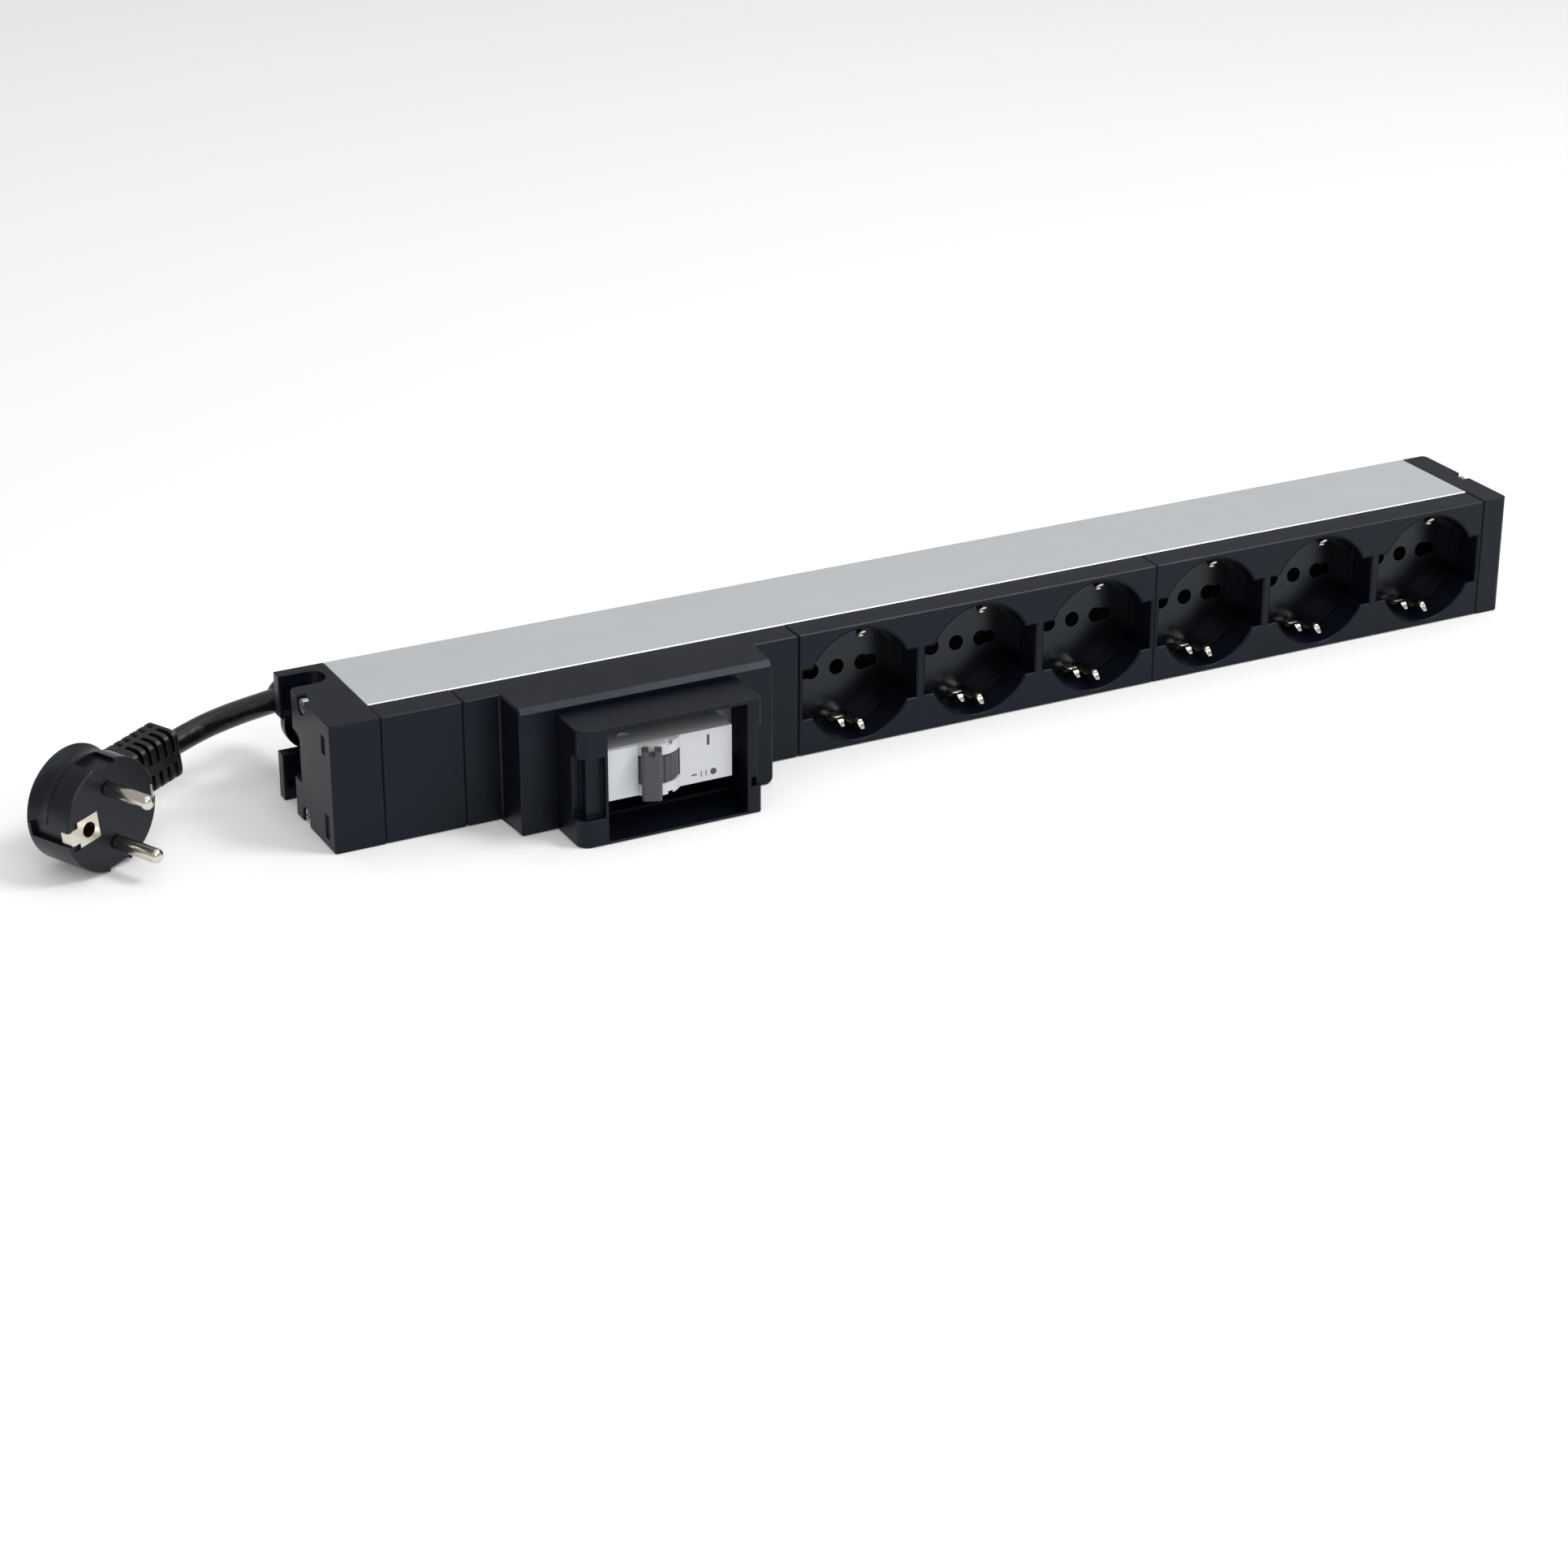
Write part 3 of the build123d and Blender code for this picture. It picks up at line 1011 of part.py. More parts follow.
def plug_pins():
    """Two round pins with rounded tips, on thinner roots inside the body."""
    pins = []
    for side in (-1, 1):
        y = side * PIN_PITCH / 2
        pin = rod((0, y, PIN_SHOULDER), (0, 0, 1), PIN_LENGTH - PIN_SHOULDER, PIN_R)
        tip = pin.edges().filter_by(GeomType.CIRCLE).sort_by(Axis.Z)[-1]
        root = rod((0, y, -PIN_ROOT_DEPTH), (0, 0, 1), PIN_ROOT_DEPTH + PIN_SHOULDER, PIN_ROOT_R)
        pins.append(fillet(tip, 1.6) + root)
    return Compound(children=pins)


def plug_earth_contact():
    """Nickel earth contacts: the plate round the earth hole and the strips in the side grooves."""
    plate = block(-16.8, -5.8, -4.4, 4.4, -0.8, 0)
    plate -= block(-17, -14.2, 2.6, 5, -1, 1)
    plate -= block(-17, -14.2, -5, -2.6, -1, 1)
    plate += block(-17.6, -16.8, -2.3, 2.3, -EARTH_STRIP_DEPTH, 0)
    plate += Pos(-EARTH_HOLE_OFFSET, 0, -7.5) * Cylinder(EARTH_HOLE_R + 0.5, 15)
    plate -= Pos(-EARTH_HOLE_OFFSET, 0, -7) * Cylinder(EARTH_HOLE_R, 16)
    strip = block(16.8, 17.6, -2.3, 2.3, -EARTH_STRIP_DEPTH, 0)
    return Compound(children=[plate, strip])


def main():
    """Build every node and write it."""
    os.makedirs("parts", exist_ok=True)
    save("profile_channel", profile_channel())
    save("cable_end_cap", cable_end_cap())
    save("plain_end_cap", plain_end_cap())
    save("end_screws_left", end_screws(0, CABLE_CAP_WIDTH, 1))
    save("end_screws_right", end_screws(LENGTH, PLAIN_CAP_WIDTH, -1))
    save("blank_cover", blank_cover())
    for i, name in enumerate(MODULES):
        save(f"socket_cover_{name}", socket_cover(i))
    for i, x in enumerate(SOCKET_XS, 1):
        save(f"socket_insert_{i}", socket_insert(x))
        save(f"earth_clip_{i}", earth_clip(x))
    save("busbar_live", pole_busbar(1))
    save("busbar_neutral", pole_busbar(-1))
    save("busbar_earth", earth_busbar())
    save("breaker_carrier", breaker_carrier())
    save("breaker_hood", breaker_hood())
    save("din_rail", din_rail())
    save("mcb_base_shell", breaker_shell(False))
    save("mcb_cover_shell", breaker_shell(True))
    save("mcb_label_flap", label_flap())
    save("mcb_toggle", breaker_toggle())
    save("mcb_toggle_pin", pivot_pin(TOGGLE_X, TOGGLE_Y, TOGGLE_PIN_R))
    save("mcb_arm_pin", pivot_pin(ARM_PIVOT_X, ARM_PIVOT_Y, ARM_PIN_R))
    save("mcb_contact_arm", contact_arm())
    save("mcb_fixed_contact", fixed_contact())
    save("mcb_arc_chute", arc_chute())
    save("mcb_trip_coil", trip_coil())
    save("mcb_bimetal", bimetal())
    save("mcb_terminal_clamps", terminal_clamps())
    save("mcb_terminal_screws", terminal_screws())
    save("mcb_rivets", breaker_rivets())
    save("mcb_rail_latch", rail_latch())
    for name, shape in inside_wires().items():
        save(name, shape)
    save("cable_elbow", cable_elbow())
    save("mains_cable", mains_cable())
    plug = plug_plane().location
    save("plug_body", plug * plug_body())
    save("plug_sleeve", plug * plug_sleeve())
    save("plug_pins", plug * plug_pins())
    save("plug_earth_contact", plug * plug_earth_contact())


main()
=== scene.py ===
"""Looks of a one-unit rack power strip: finishes, mouldings, contacts, lead and studio.

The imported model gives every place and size.  This script rounds the edges of the mouldings,
replaces the sprung contacts and pins with formed metal, lays the lead and dresses every piece.
Lengths are metres unless a name ends in _mm.
"""

import json
import logging
import math
from dataclasses import dataclass
from enum import Enum
from typing import Any, Iterable

import bmesh
import bpy
import numpy as np
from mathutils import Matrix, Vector


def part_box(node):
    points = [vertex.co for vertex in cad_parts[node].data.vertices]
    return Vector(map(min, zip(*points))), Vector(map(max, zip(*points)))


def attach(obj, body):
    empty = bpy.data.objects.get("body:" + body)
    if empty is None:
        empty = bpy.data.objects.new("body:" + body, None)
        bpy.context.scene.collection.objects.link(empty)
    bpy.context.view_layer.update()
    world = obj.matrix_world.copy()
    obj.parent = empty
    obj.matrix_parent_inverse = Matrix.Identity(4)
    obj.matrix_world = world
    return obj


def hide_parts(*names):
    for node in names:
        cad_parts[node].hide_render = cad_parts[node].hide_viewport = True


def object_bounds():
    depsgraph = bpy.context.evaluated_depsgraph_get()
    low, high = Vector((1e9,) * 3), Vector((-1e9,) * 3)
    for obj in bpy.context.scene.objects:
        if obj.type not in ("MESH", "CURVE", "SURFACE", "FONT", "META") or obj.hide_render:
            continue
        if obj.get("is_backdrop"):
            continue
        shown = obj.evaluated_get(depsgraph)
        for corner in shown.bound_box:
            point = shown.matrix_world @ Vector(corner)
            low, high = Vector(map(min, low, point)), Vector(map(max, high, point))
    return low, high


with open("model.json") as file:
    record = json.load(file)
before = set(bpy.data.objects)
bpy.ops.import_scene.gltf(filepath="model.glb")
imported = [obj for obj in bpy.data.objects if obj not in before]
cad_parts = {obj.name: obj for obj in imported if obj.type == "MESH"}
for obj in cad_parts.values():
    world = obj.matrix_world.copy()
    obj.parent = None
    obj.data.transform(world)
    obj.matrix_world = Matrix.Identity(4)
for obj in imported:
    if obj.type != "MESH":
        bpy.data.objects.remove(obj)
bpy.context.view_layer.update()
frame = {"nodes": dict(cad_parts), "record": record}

LOG = logging.getLogger("power_strip")
MM = 0.001
ON_AXIS_MM = 0.002  # a turned profile that reaches its axis stops this far from it
Colour = tuple[float, float, float]
Place = tuple[float, float, float]


# ---------------------------------------------------------------- shader graphs
class Signal:
    """An output socket that can be used in sums, products and mixes."""

    def __init__(self, graph: "Graph", socket: bpy.types.NodeSocket) -> None:
        """Keep the graph and the socket.

        Args:
            graph: graph that the socket belongs to.
            socket: output socket of a node.
        """
        self.graph = graph
        self.socket = socket

    def _math(self, operation: str, first: Any, second: Any) -> "Signal":
        """Math node on two values, either of which may be a plain number.

        Args:
            operation: the node's operation.
            first: first value.
            second: second value.

        Returns:
            The result.
        """
        return self.graph.node("ShaderNodeMath", {"operation": operation}, {0: first, 1: second})

    def __add__(self, other: Any) -> "Signal":
        """Sum."""
        return self._math("ADD", self, other)

    def __radd__(self, other: Any) -> "Signal":
        """Sum with a number on the left."""
        return self._math("ADD", other, self)

    def __sub__(self, other: Any) -> "Signal":
        """Difference."""
        return self._math("SUBTRACT", self, other)

    def __rmul__(self, other: Any) -> "Signal":
        """Product with a number, which is written on the left."""
        return self._math("MULTIPLY", other, self)

    def __gt__(self, other: Any) -> "Signal":
        """Mask of one where the value is above the other."""
        return self._math("GREATER_THAN", self, other)


class Graph:
    """Node tree of one material, and the one method that makes its nodes."""

    def __init__(self, name: str) -> None:
        """Start an empty tree.

        Args:
            name: the material's name.
        """
        self.material = bpy.data.materials.new(name)
        self.material.use_nodes = True
        self.tree = self.material.node_tree
        self.tree.nodes.clear()

    def node(self, kind: str, settings: dict[str, Any] | None = None,
             values: dict[Any, Any] | None = None, output: int | str = 0) -> Signal:
        """Make one node.

        Args:
            kind: the node's type.
            settings: attributes, set first; "stops" gives a ramp's positions and colours.
            values: number, colour or Signal for each input, by name or index.
            output: which output the returned Signal carries.

        Returns:
            Signal of the chosen output.
        """
        made = self.tree.nodes.new(kind)
        for key, value in (settings or {}).items():
            if key == "stops":
                self._set_stops(made, value)
            else:
                setattr(made, key, value)
        for key, value in (values or {}).items():
            if isinstance(value, Signal):
                self.tree.links.new(value.socket, made.inputs[key])
            else:
                made.inputs[key].default_value = value
        return Signal(self, made.outputs[output]) if len(made.outputs) else Signal(self, None)

    @staticmethod
    def _set_stops(ramp: bpy.types.Node, stops: Iterable[tuple[float, float]]) -> None:
        """Give a colour ramp its grey stops.

        Args:
            ramp: the ramp's node.
            stops: position and grey level of each stop.
        """
        elements = ramp.color_ramp.elements
        stops = list(stops)
        while len(elements) < len(stops):
            elements.new(1.0)
        for element, (place, level) in zip(elements, stops):
            element.position = place
            element.color = (level, level, level, 1.0)

    def place(self, stretch: Colour = (1.0, 1.0, 1.0)) -> Signal:
        """Object coordinates, stretched along each axis.

        Args:
            stretch: factor along each axis; a pattern is finer where it is larger.

        Returns:
            The coordinates.
        """
        where = self.node("ShaderNodeTexCoord", output="Object")
        return self.node("ShaderNodeMapping", {}, {"Vector": where, "Scale": stretch})

    def noise(self, where: Signal, scale: float, detail: float = 3.0, rough: float = 0.5) -> Signal:
        """Fractal noise from 0 to 1.

        Args:
            where: coordinates.
            scale: cells per metre.
            detail: number of finer layers.
            rough: share that each finer layer has of the one before.

        Returns:
            The noise.
        """
        return self.node("ShaderNodeTexNoise", {},
                         {"Vector": where, "Scale": scale, "Detail": detail, "Roughness": rough})

    def ramp(self, value: Signal, *stops: tuple[float, float]) -> Signal:
        """Grey ramp of a value.

        Args:
            value: the value.
            stops: position and grey level of each stop.

        Returns:
            The ramp's level.
        """
        return self.node("ShaderNodeValToRGB", {"stops": stops}, {"Fac": value})

    def blend(self, share: Any, first: Any, second: Any) -> Signal:
        """Colour mix.

        Args:
            share: 0 for the first colour, 1 for the second.
            first: first colour.
            second: second colour.

        Returns:
            The mixed colour.
        """
        return self.node("ShaderNodeMix", {"data_type": "RGBA"},
                         {0: share, 6: rgba(first), 7: rgba(second)}, output=2)

    def bump(self, height: Signal, depth: float, strength: float = 1.0) -> Signal:
        """Normal of a relief.

        Args:
            height: the relief's height, from 0 to 1.
            depth: what a height of 1 is in metres.
            strength: share of the relief that is felt.

        Returns:
            The normal.
        """
        return self.node("ShaderNodeBump", {},
                         {"Height": height, "Distance": depth, "Strength": strength})

    def surface(self, **values: Any) -> bpy.types.Material:
        """Finish the tree with a principled surface.

        Args:
            values: the surface's inputs by name, with _ for a space.

        Returns:
            The material.
        """
        inputs = {key.replace("_", " "): value for key, value in values.items()}
        shader = self.node("ShaderNodeBsdfPrincipled", {}, inputs)
        self.node("ShaderNodeOutputMaterial", {}, {"Surface": shader})
        return self.material


def rgba(colour: Any) -> Any:
    """Colour with its fourth number, or a Signal as it is."""
    return colour if isinstance(colour, Signal) else (*colour, 1.0)


def scaled(colour: Colour, factor: float) -> Colour:
    """Colour made lighter or darker by a factor."""
    return tuple(min(1.0, c * factor) for c in colour)


# ---------------------------------------------------------------- finishes
@dataclass(frozen=True)
class Moulding:
    """Injection-moulded plastic with a spark-eroded grain."""

    colour: Colour
    gloss: float = 0.42
    grain_per_m: float = 5200.0
    grain_depth: float = 0.000018
    clouds_per_m: float = 28.0
    rubs_per_m: float = 75.0
    mottle: float = 0.12
    shine: float = 0.25
    glint: Colour = (0.80, 0.90, 1.0)

    def material(self, name: str) -> bpy.types.Material:
        """Fine grain, slow changes of tone, and rubbed patches that shine a little more.

        Args:
            name: the material's name.

        Returns:
            The material.
        """
        g = Graph(name)
        where = g.place()
        grain = g.noise(where, self.grain_per_m, 2.0)
        clouds = g.noise(where, self.clouds_per_m, 4.0)
        rubbed = g.ramp(g.noise(where, self.rubs_per_m, 5.0, 0.6), (0.45, 0.0), (0.75, 1.0))
        tone = g.blend(clouds, scaled(self.colour, 1 - self.mottle), scaled(self.colour, 1 + self.mottle))
        rough = self.gloss + 0.05 * grain - 0.05 * rubbed
        return g.surface(Base_Color=tone, Roughness=rough, Specular_IOR_Level=self.shine,
                         Specular_Tint=rgba(self.glint), Normal=g.bump(grain, self.grain_depth))


@dataclass(frozen=True)
class Anodised:
    """Satin anodised extrusion with drawing lines along x."""

    colour: Colour
    gloss: float = 0.46
    lines_per_m: float = 26.0
    clouds_per_m: float = 18.0
    frost_per_m: float = 3800.0
    relief_depth: float = 0.000012

    def material(self, name: str) -> bpy.types.Material:
        """Fine lines along the strip, a cloudy film and a frosted surface.

        Args:
            name: the material's name.

        Returns:
            The material.
        """
        g = Graph(name)
        lines = g.noise(g.place((1.0, 90.0, 90.0)), self.lines_per_m, 4.0, 0.65)
        clouds = g.noise(g.place((1.0, 2.4, 2.4)), self.clouds_per_m, 5.0, 0.6)
        frost = g.noise(g.place(), self.frost_per_m, 2.0)
        film = g.blend(clouds, scaled(self.colour, 0.90), scaled(self.colour, 1.08))
        tone = g.blend(0.25 * lines, film, scaled(self.colour, 0.86))
        rough = self.gloss + 0.10 * lines - 0.06 * clouds
        relief = g.bump(0.6 * frost + 0.4 * lines, self.relief_depth)
        return g.surface(Base_Color=tone, Roughness=rough, Metallic=1.0, Normal=relief)


@dataclass(frozen=True)
class Plated:
    """Plated or bare metal, with handling haze and fine scratches."""

    colour: Colour
    gloss: float = 0.18
    haze: float = 0.14
    clouds_per_m: float = 320.0
    hairs_per_m: float = 160.0
    relief_depth: float = 0.00002

    def material(self, name: str) -> bpy.types.Material:
        """Bright metal that is duller in clouds and along hair scratches.

        Args:
            name: the material's name.

        Returns:
            The material.
        """
        g = Graph(name)
        clouds = g.noise(g.place(), self.clouds_per_m, 4.0, 0.6)
        scratches = g.noise(g.place((30.0, 30.0, 1.0)), self.hairs_per_m, 3.0)
        hairs = g.ramp(scratches, (0.60, 0.0), (0.68, 1.0))
        tone = g.blend(clouds, self.colour, scaled(self.colour, 0.82))
        rough = self.gloss + self.haze * clouds + 0.12 * hairs
        return g.surface(Base_Color=tone, Roughness=rough, Metallic=1.0,
                         Normal=g.bump(clouds, self.relief_depth, 0.5))


@dataclass(frozen=True)
class Sheath:
    """Smooth extruded or moulded PVC."""

    colour: Colour
    gloss: float = 0.28
    scuffs: float = 0.22
    shine: float = 0.35
    scuffs_per_m: float = 240.0
    waves_per_m: float = 110.0
    wave_depth: float = 0.00009

    def material(self, name: str) -> bpy.types.Material:
        """Glossy skin with scuffed patches and a shallow waviness.

        Args:
            name: the material's name.

        Returns:
            The material.
        """
        g = Graph(name)
        where = g.place()
        scuffed = g.ramp(g.noise(where, self.scuffs_per_m, 6.0, 0.7), (0.48, 0.0), (0.70, 1.0))
        waves = g.noise(where, self.waves_per_m, 2.0)
        tone = g.blend(0.5 * scuffed, self.colour, scaled(self.colour, 1.9))
        return g.surface(Base_Color=tone, Roughness=self.gloss + self.scuffs * scuffed,
                         Specular_IOR_Level=self.shine, Normal=g.bump(waves, self.wave_depth, 0.6))


@dataclass(frozen=True)
class StripedCore:
    """Core insulation in two colours, in bands across the core."""

    colour: Colour
    stripe: Colour
    bands_per_m: float = 70.0
    stripe_from: float = 0.62
    specks_per_m: float = 900.0

    def material(self, name: str) -> bpy.types.Material:
        """Slanting bands of the second colour over the first.

        Args:
            name: the material's name.

        Returns:
            The material.
        """
        g = Graph(name)
        wave = g.node("ShaderNodeTexWave", {"bands_direction": "DIAGONAL"},
                      {"Vector": g.place(), "Scale": self.bands_per_m, "Distortion": 0.6})
        tone = g.blend(wave > self.stripe_from, self.colour, self.stripe)
        speck = g.noise(g.place(), self.specks_per_m)
        return g.surface(Base_Color=tone, Roughness=0.34 + 0.1 * speck)


FINISHES: dict[str, Any] = {
    "aluminium": Anodised((0.87, 0.905, 0.92)),
    "black_housing": Moulding((0.0018, 0.0026, 0.0062), gloss=0.37, shine=0.24),
    "socket_black": Moulding((0.0010, 0.0012, 0.0024), gloss=0.20, shine=0.45),
    "nickel": Plated((0.76, 0.71, 0.63), gloss=0.13),
    "zinc_steel": Plated((0.60, 0.64, 0.68), gloss=0.24),
    # brass: base colour far darker than bare brass; this is painted shade for the dark chambers behind the
    # pin holes
    "brass": Plated((0.060, 0.042, 0.022), gloss=0.50),
    "copper": Plated((0.68, 0.31, 0.16), gloss=0.24),
    "white_case": Moulding((0.58, 0.59, 0.605), gloss=0.40, grain_depth=0.000010, mottle=0.03, shine=0.5),
    "label_grey": Moulding((0.625, 0.645, 0.675), gloss=0.32, grain_depth=0.000006, mottle=0.03, shine=0.5),
    "toggle_grey": Moulding((0.062, 0.060, 0.066), gloss=0.36, mottle=0.10, shine=0.4),
    "wire_brown": Sheath((0.16, 0.06, 0.022), gloss=0.34),
    "wire_blue": Sheath((0.02, 0.10, 0.38), gloss=0.34),
    "wire_green_yellow": StripedCore((0.03, 0.22, 0.04), (0.72, 0.60, 0.03)),
    "cable_black": Sheath((0.0045, 0.0045, 0.0055), gloss=0.20, shine=0.5),
    "black_sleeve": Sheath((0.0040, 0.0040, 0.0055), gloss=0.30, shine=0.4),
    "plug_black": Moulding((0.0048, 0.0050, 0.0074), gloss=0.30, grain_depth=0.000012, shine=0.35),
}


class Wardrobe:
    """Makes each finish's material once and puts it on pieces."""

    def __init__(self) -> None:
        """Start with no materials."""
        self.made: dict[str, bpy.types.Material] = {}
        self.slots = {part["node"]: part["material_slot"] for part in frame["record"]["subparts"]}

    def material(self, slot: str) -> bpy.types.Material:
        """Material of one slot, made the first time that it is asked for.

        Args:
            slot: the slot's name.

        Returns:
            The material.
        """
        if slot not in self.made:
            self.made[slot] = FINISHES[slot].material(slot)
        return self.made[slot]

    def wear(self, piece: bpy.types.Object, slot: str) -> None:
        """Put one slot's material on the whole piece.

        Args:
            piece: the piece.
            slot: the slot's name.
        """
        piece.data.materials.clear()
        piece.data.materials.append(self.material(slot))

    def dress_frame(self) -> None:
        """Give every CAD piece the finish of its own slot."""
        for node, piece in frame["nodes"].items():
            self.wear(piece, self.slots[node])

    def adopt(self, piece: bpy.types.Object, slot: str, body: str, *nodes: str) -> bpy.types.Object:
        """Dress a new piece and tie it to a body.

        Args:
            piece: the new piece.
            slot: material slot that it takes its finish from.
            body: body that it rides on.
            nodes: CAD pieces that it stands for.

        Returns:
            The piece.
        """
        self.wear(piece, slot)
        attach(piece, body)
        if nodes:
            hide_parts(*nodes)
        LOG.info("piece %s: %s on %s", piece.name, slot, body)
        return piece


# ---------------------------------------------------------------- shapes
class Shell:
    """Collects grids of points and turns them into one mesh object."""

    merge: float = 1e-7

    def __init__(self, name: str) -> None:
        """Start empty.

        Args:
            name: name of the object to be made.
        """
        self.name = name
        self.points: list[np.ndarray] = []
        self.faces: list[list[int]] = []
        self.count = 0

    def grid(self, points: np.ndarray, ring: bool = True) -> "Shell":
        """Add a surface over a grid of points.

        Args:
            points: array of rows, columns and 3; a row is one section of the surface.
            ring: whether each row closes on itself, with a face over the first and the last.

        Returns:
            The shell itself.
        """
        rows, columns = points.shape[:2]
        index = np.arange(rows * columns).reshape(rows, columns) + self.count
        if ring:
            index = np.concatenate([index, index[:, :1]], axis=1)
            self.faces.append(index[0, :-1][::-1].tolist())
            self.faces.append(index[-1, :-1].tolist())
        quads = np.stack([index[:-1, :-1], index[:-1, 1:], index[1:, 1:], index[1:, :-1]], axis=-1)
        self.faces += quads.reshape(-1, 4).tolist()
        self.points.append(points.reshape(-1, 3))
        self.count += rows * columns
        return self

    def build(self, smooth: bool = True) -> bpy.types.Object:
        """Make the object, with its doubles merged and its faces pointing outwards.

        Args:
            smooth: whether its faces are shaded smooth.

        Returns:
            The object.
        """
        mesh = bpy.data.meshes.new(self.name)
        mesh.from_pydata(np.concatenate(self.points).tolist(), [], self.faces)
        work = bmesh.new()
        work.from_mesh(mesh)
        bmesh.ops.remove_doubles(work, verts=work.verts, dist=self.merge)
        bmesh.ops.recalc_face_normals(work, faces=work.faces)
        work.to_mesh(mesh)
        work.free()
        return placed(self.name, mesh, smooth)


def placed(name: str, mesh: bpy.types.Mesh, smooth: bool) -> bpy.types.Object:
    """Object at the origin that shows a mesh.

    Args:
        name: the object's name.
        mesh: its mesh.
        smooth: whether its faces are shaded smooth.

    Returns:
        The object, linked to the scene.
    """
    mesh.polygons.foreach_set("use_smooth", np.full(len(mesh.polygons), smooth))
    mesh.update()
    piece = bpy.data.objects.new(name, mesh)
    bpy.context.scene.collection.objects.link(piece)
    return piece


def frame_of(direction: Vector) -> tuple[np.ndarray, np.ndarray, np.ndarray]:
    """Square directions to go with an axis.

    Args:
        direction: the axis.

    Returns:
        Two directions across the axis, and the axis itself, each of length 1.
    """
    along = direction.normalized()
    side = along.orthogonal().normalized()
    return np.array(side), np.array(along.cross(side)), np.array(along)


def lathe(shell: Shell, profile: np.ndarray, start: Vector, direction: Vector, sides: int = 48) -> None:
    """Turn a profile round an axis: each point (t, r) becomes a circle of radius r at t.

    Args:
        shell: shell that takes the surface.
        profile: array of distances along the axis and radii.
        start: where the distance is 0.
        direction: the axis.
        sides: points round each circle.
    """
    side, up, along = frame_of(direction)
    turn = np.linspace(0, 2 * np.pi, sides, endpoint=False)
    circle = np.cos(turn)[:, None] * side + np.sin(turn)[:, None] * up
    points = np.array(start) + profile[:, :1, None] * along + profile[:, 1:, None] * circle[None]
    shell.grid(points)


def rounded_line(corners: np.ndarray, radius: float, steps: int = 7) -> np.ndarray:
    """Line through corners in a plane with each inner corner turned into a smooth bend.

    A bend is the quadratic blend of the two runs, (1-t)^2 A + 2t(1-t) B + t^2 C, which starts
    and ends one radius from the corner B.

    Args:
        corners: array of corners, with two numbers each.
        radius: how far from its corner a bend starts.
        steps: points in a bend.

    Returns:
        Array of the line's points.
    """
    t = np.linspace(0, 1, steps)[:, None]
    line = [corners[:1]]
    for before, here, after in zip(corners, corners[1:], corners[2:]):
        first = here + (before - here) / np.linalg.norm(before - here) * radius
        last = here + (after - here) / np.linalg.norm(after - here) * radius
        line.append((1 - t) ** 2 * first + 2 * t * (1 - t) * here + t ** 2 * last)
    line.append(corners[-1:])
    return np.concatenate(line)


def formed_strip(shell: Shell, line: np.ndarray, widths: np.ndarray, centre_x: float,
                 thick: float, crown: float) -> None:
    """Strip of sheet metal that follows a line in the y-z plane, crowned across its width.

    The section at each point is a flat oval of the given width, and its middle stands out from
    the line by the crown times 1 - s^2, where s runs from -1 to 1 across the width.

    Args:
        shell: shell that takes the surface.
        line: array of y and z.
        widths: width at each point of the line.
        centre_x: x of the strip's middle.
        thick: sheet thickness.
        crown: how far the middle stands out.
    """
    run = np.gradient(line, axis=0)
    run /= np.linalg.norm(run, axis=1, keepdims=True)
    out = np.stack([-run[:, 1], run[:, 0]], axis=1)
    across = np.linspace(-1, 1, 9)
    lift = crown * (1 - across ** 2)
    edge = thick / 2 * np.sqrt(np.clip(1 - np.abs(across) ** 6, 0.05, 1))
    s = np.concatenate([across, across[::-1]])
    h = np.concatenate([lift + edge, (lift - edge)[::-1]])
    x = centre_x + widths[:, None] / 2 * s[None]
    y = line[:, :1] + out[:, :1] * h[None]
    z = line[:, 1:] + out[:, 1:] * h[None]
    shell.grid(np.stack([x, y, z], axis=-1))


def slab(shell: Shell, low: Vector, high: Vector) -> None:
    """Closed box, as two square rings.

    Args:
        shell: shell that takes the box.
        low: corner with the lowest x, y and z.
        high: corner with the highest.
    """
    x = np.array([low.x, high.x, high.x, low.x])
    y = np.array([low.y, low.y, high.y, high.y])
    rings = [np.stack([x, y, np.full(4, z)], axis=-1) for z in (low.z, high.z)]
    shell.grid(np.stack(rings))


# ---------------------------------------------------------------- mouldings
class Edge(Enum):
    """Roll of a moulding's sharp edges, in millimetres."""

    CRISP = 0.14
    SOFT = 0.30
    LIT = 0.60


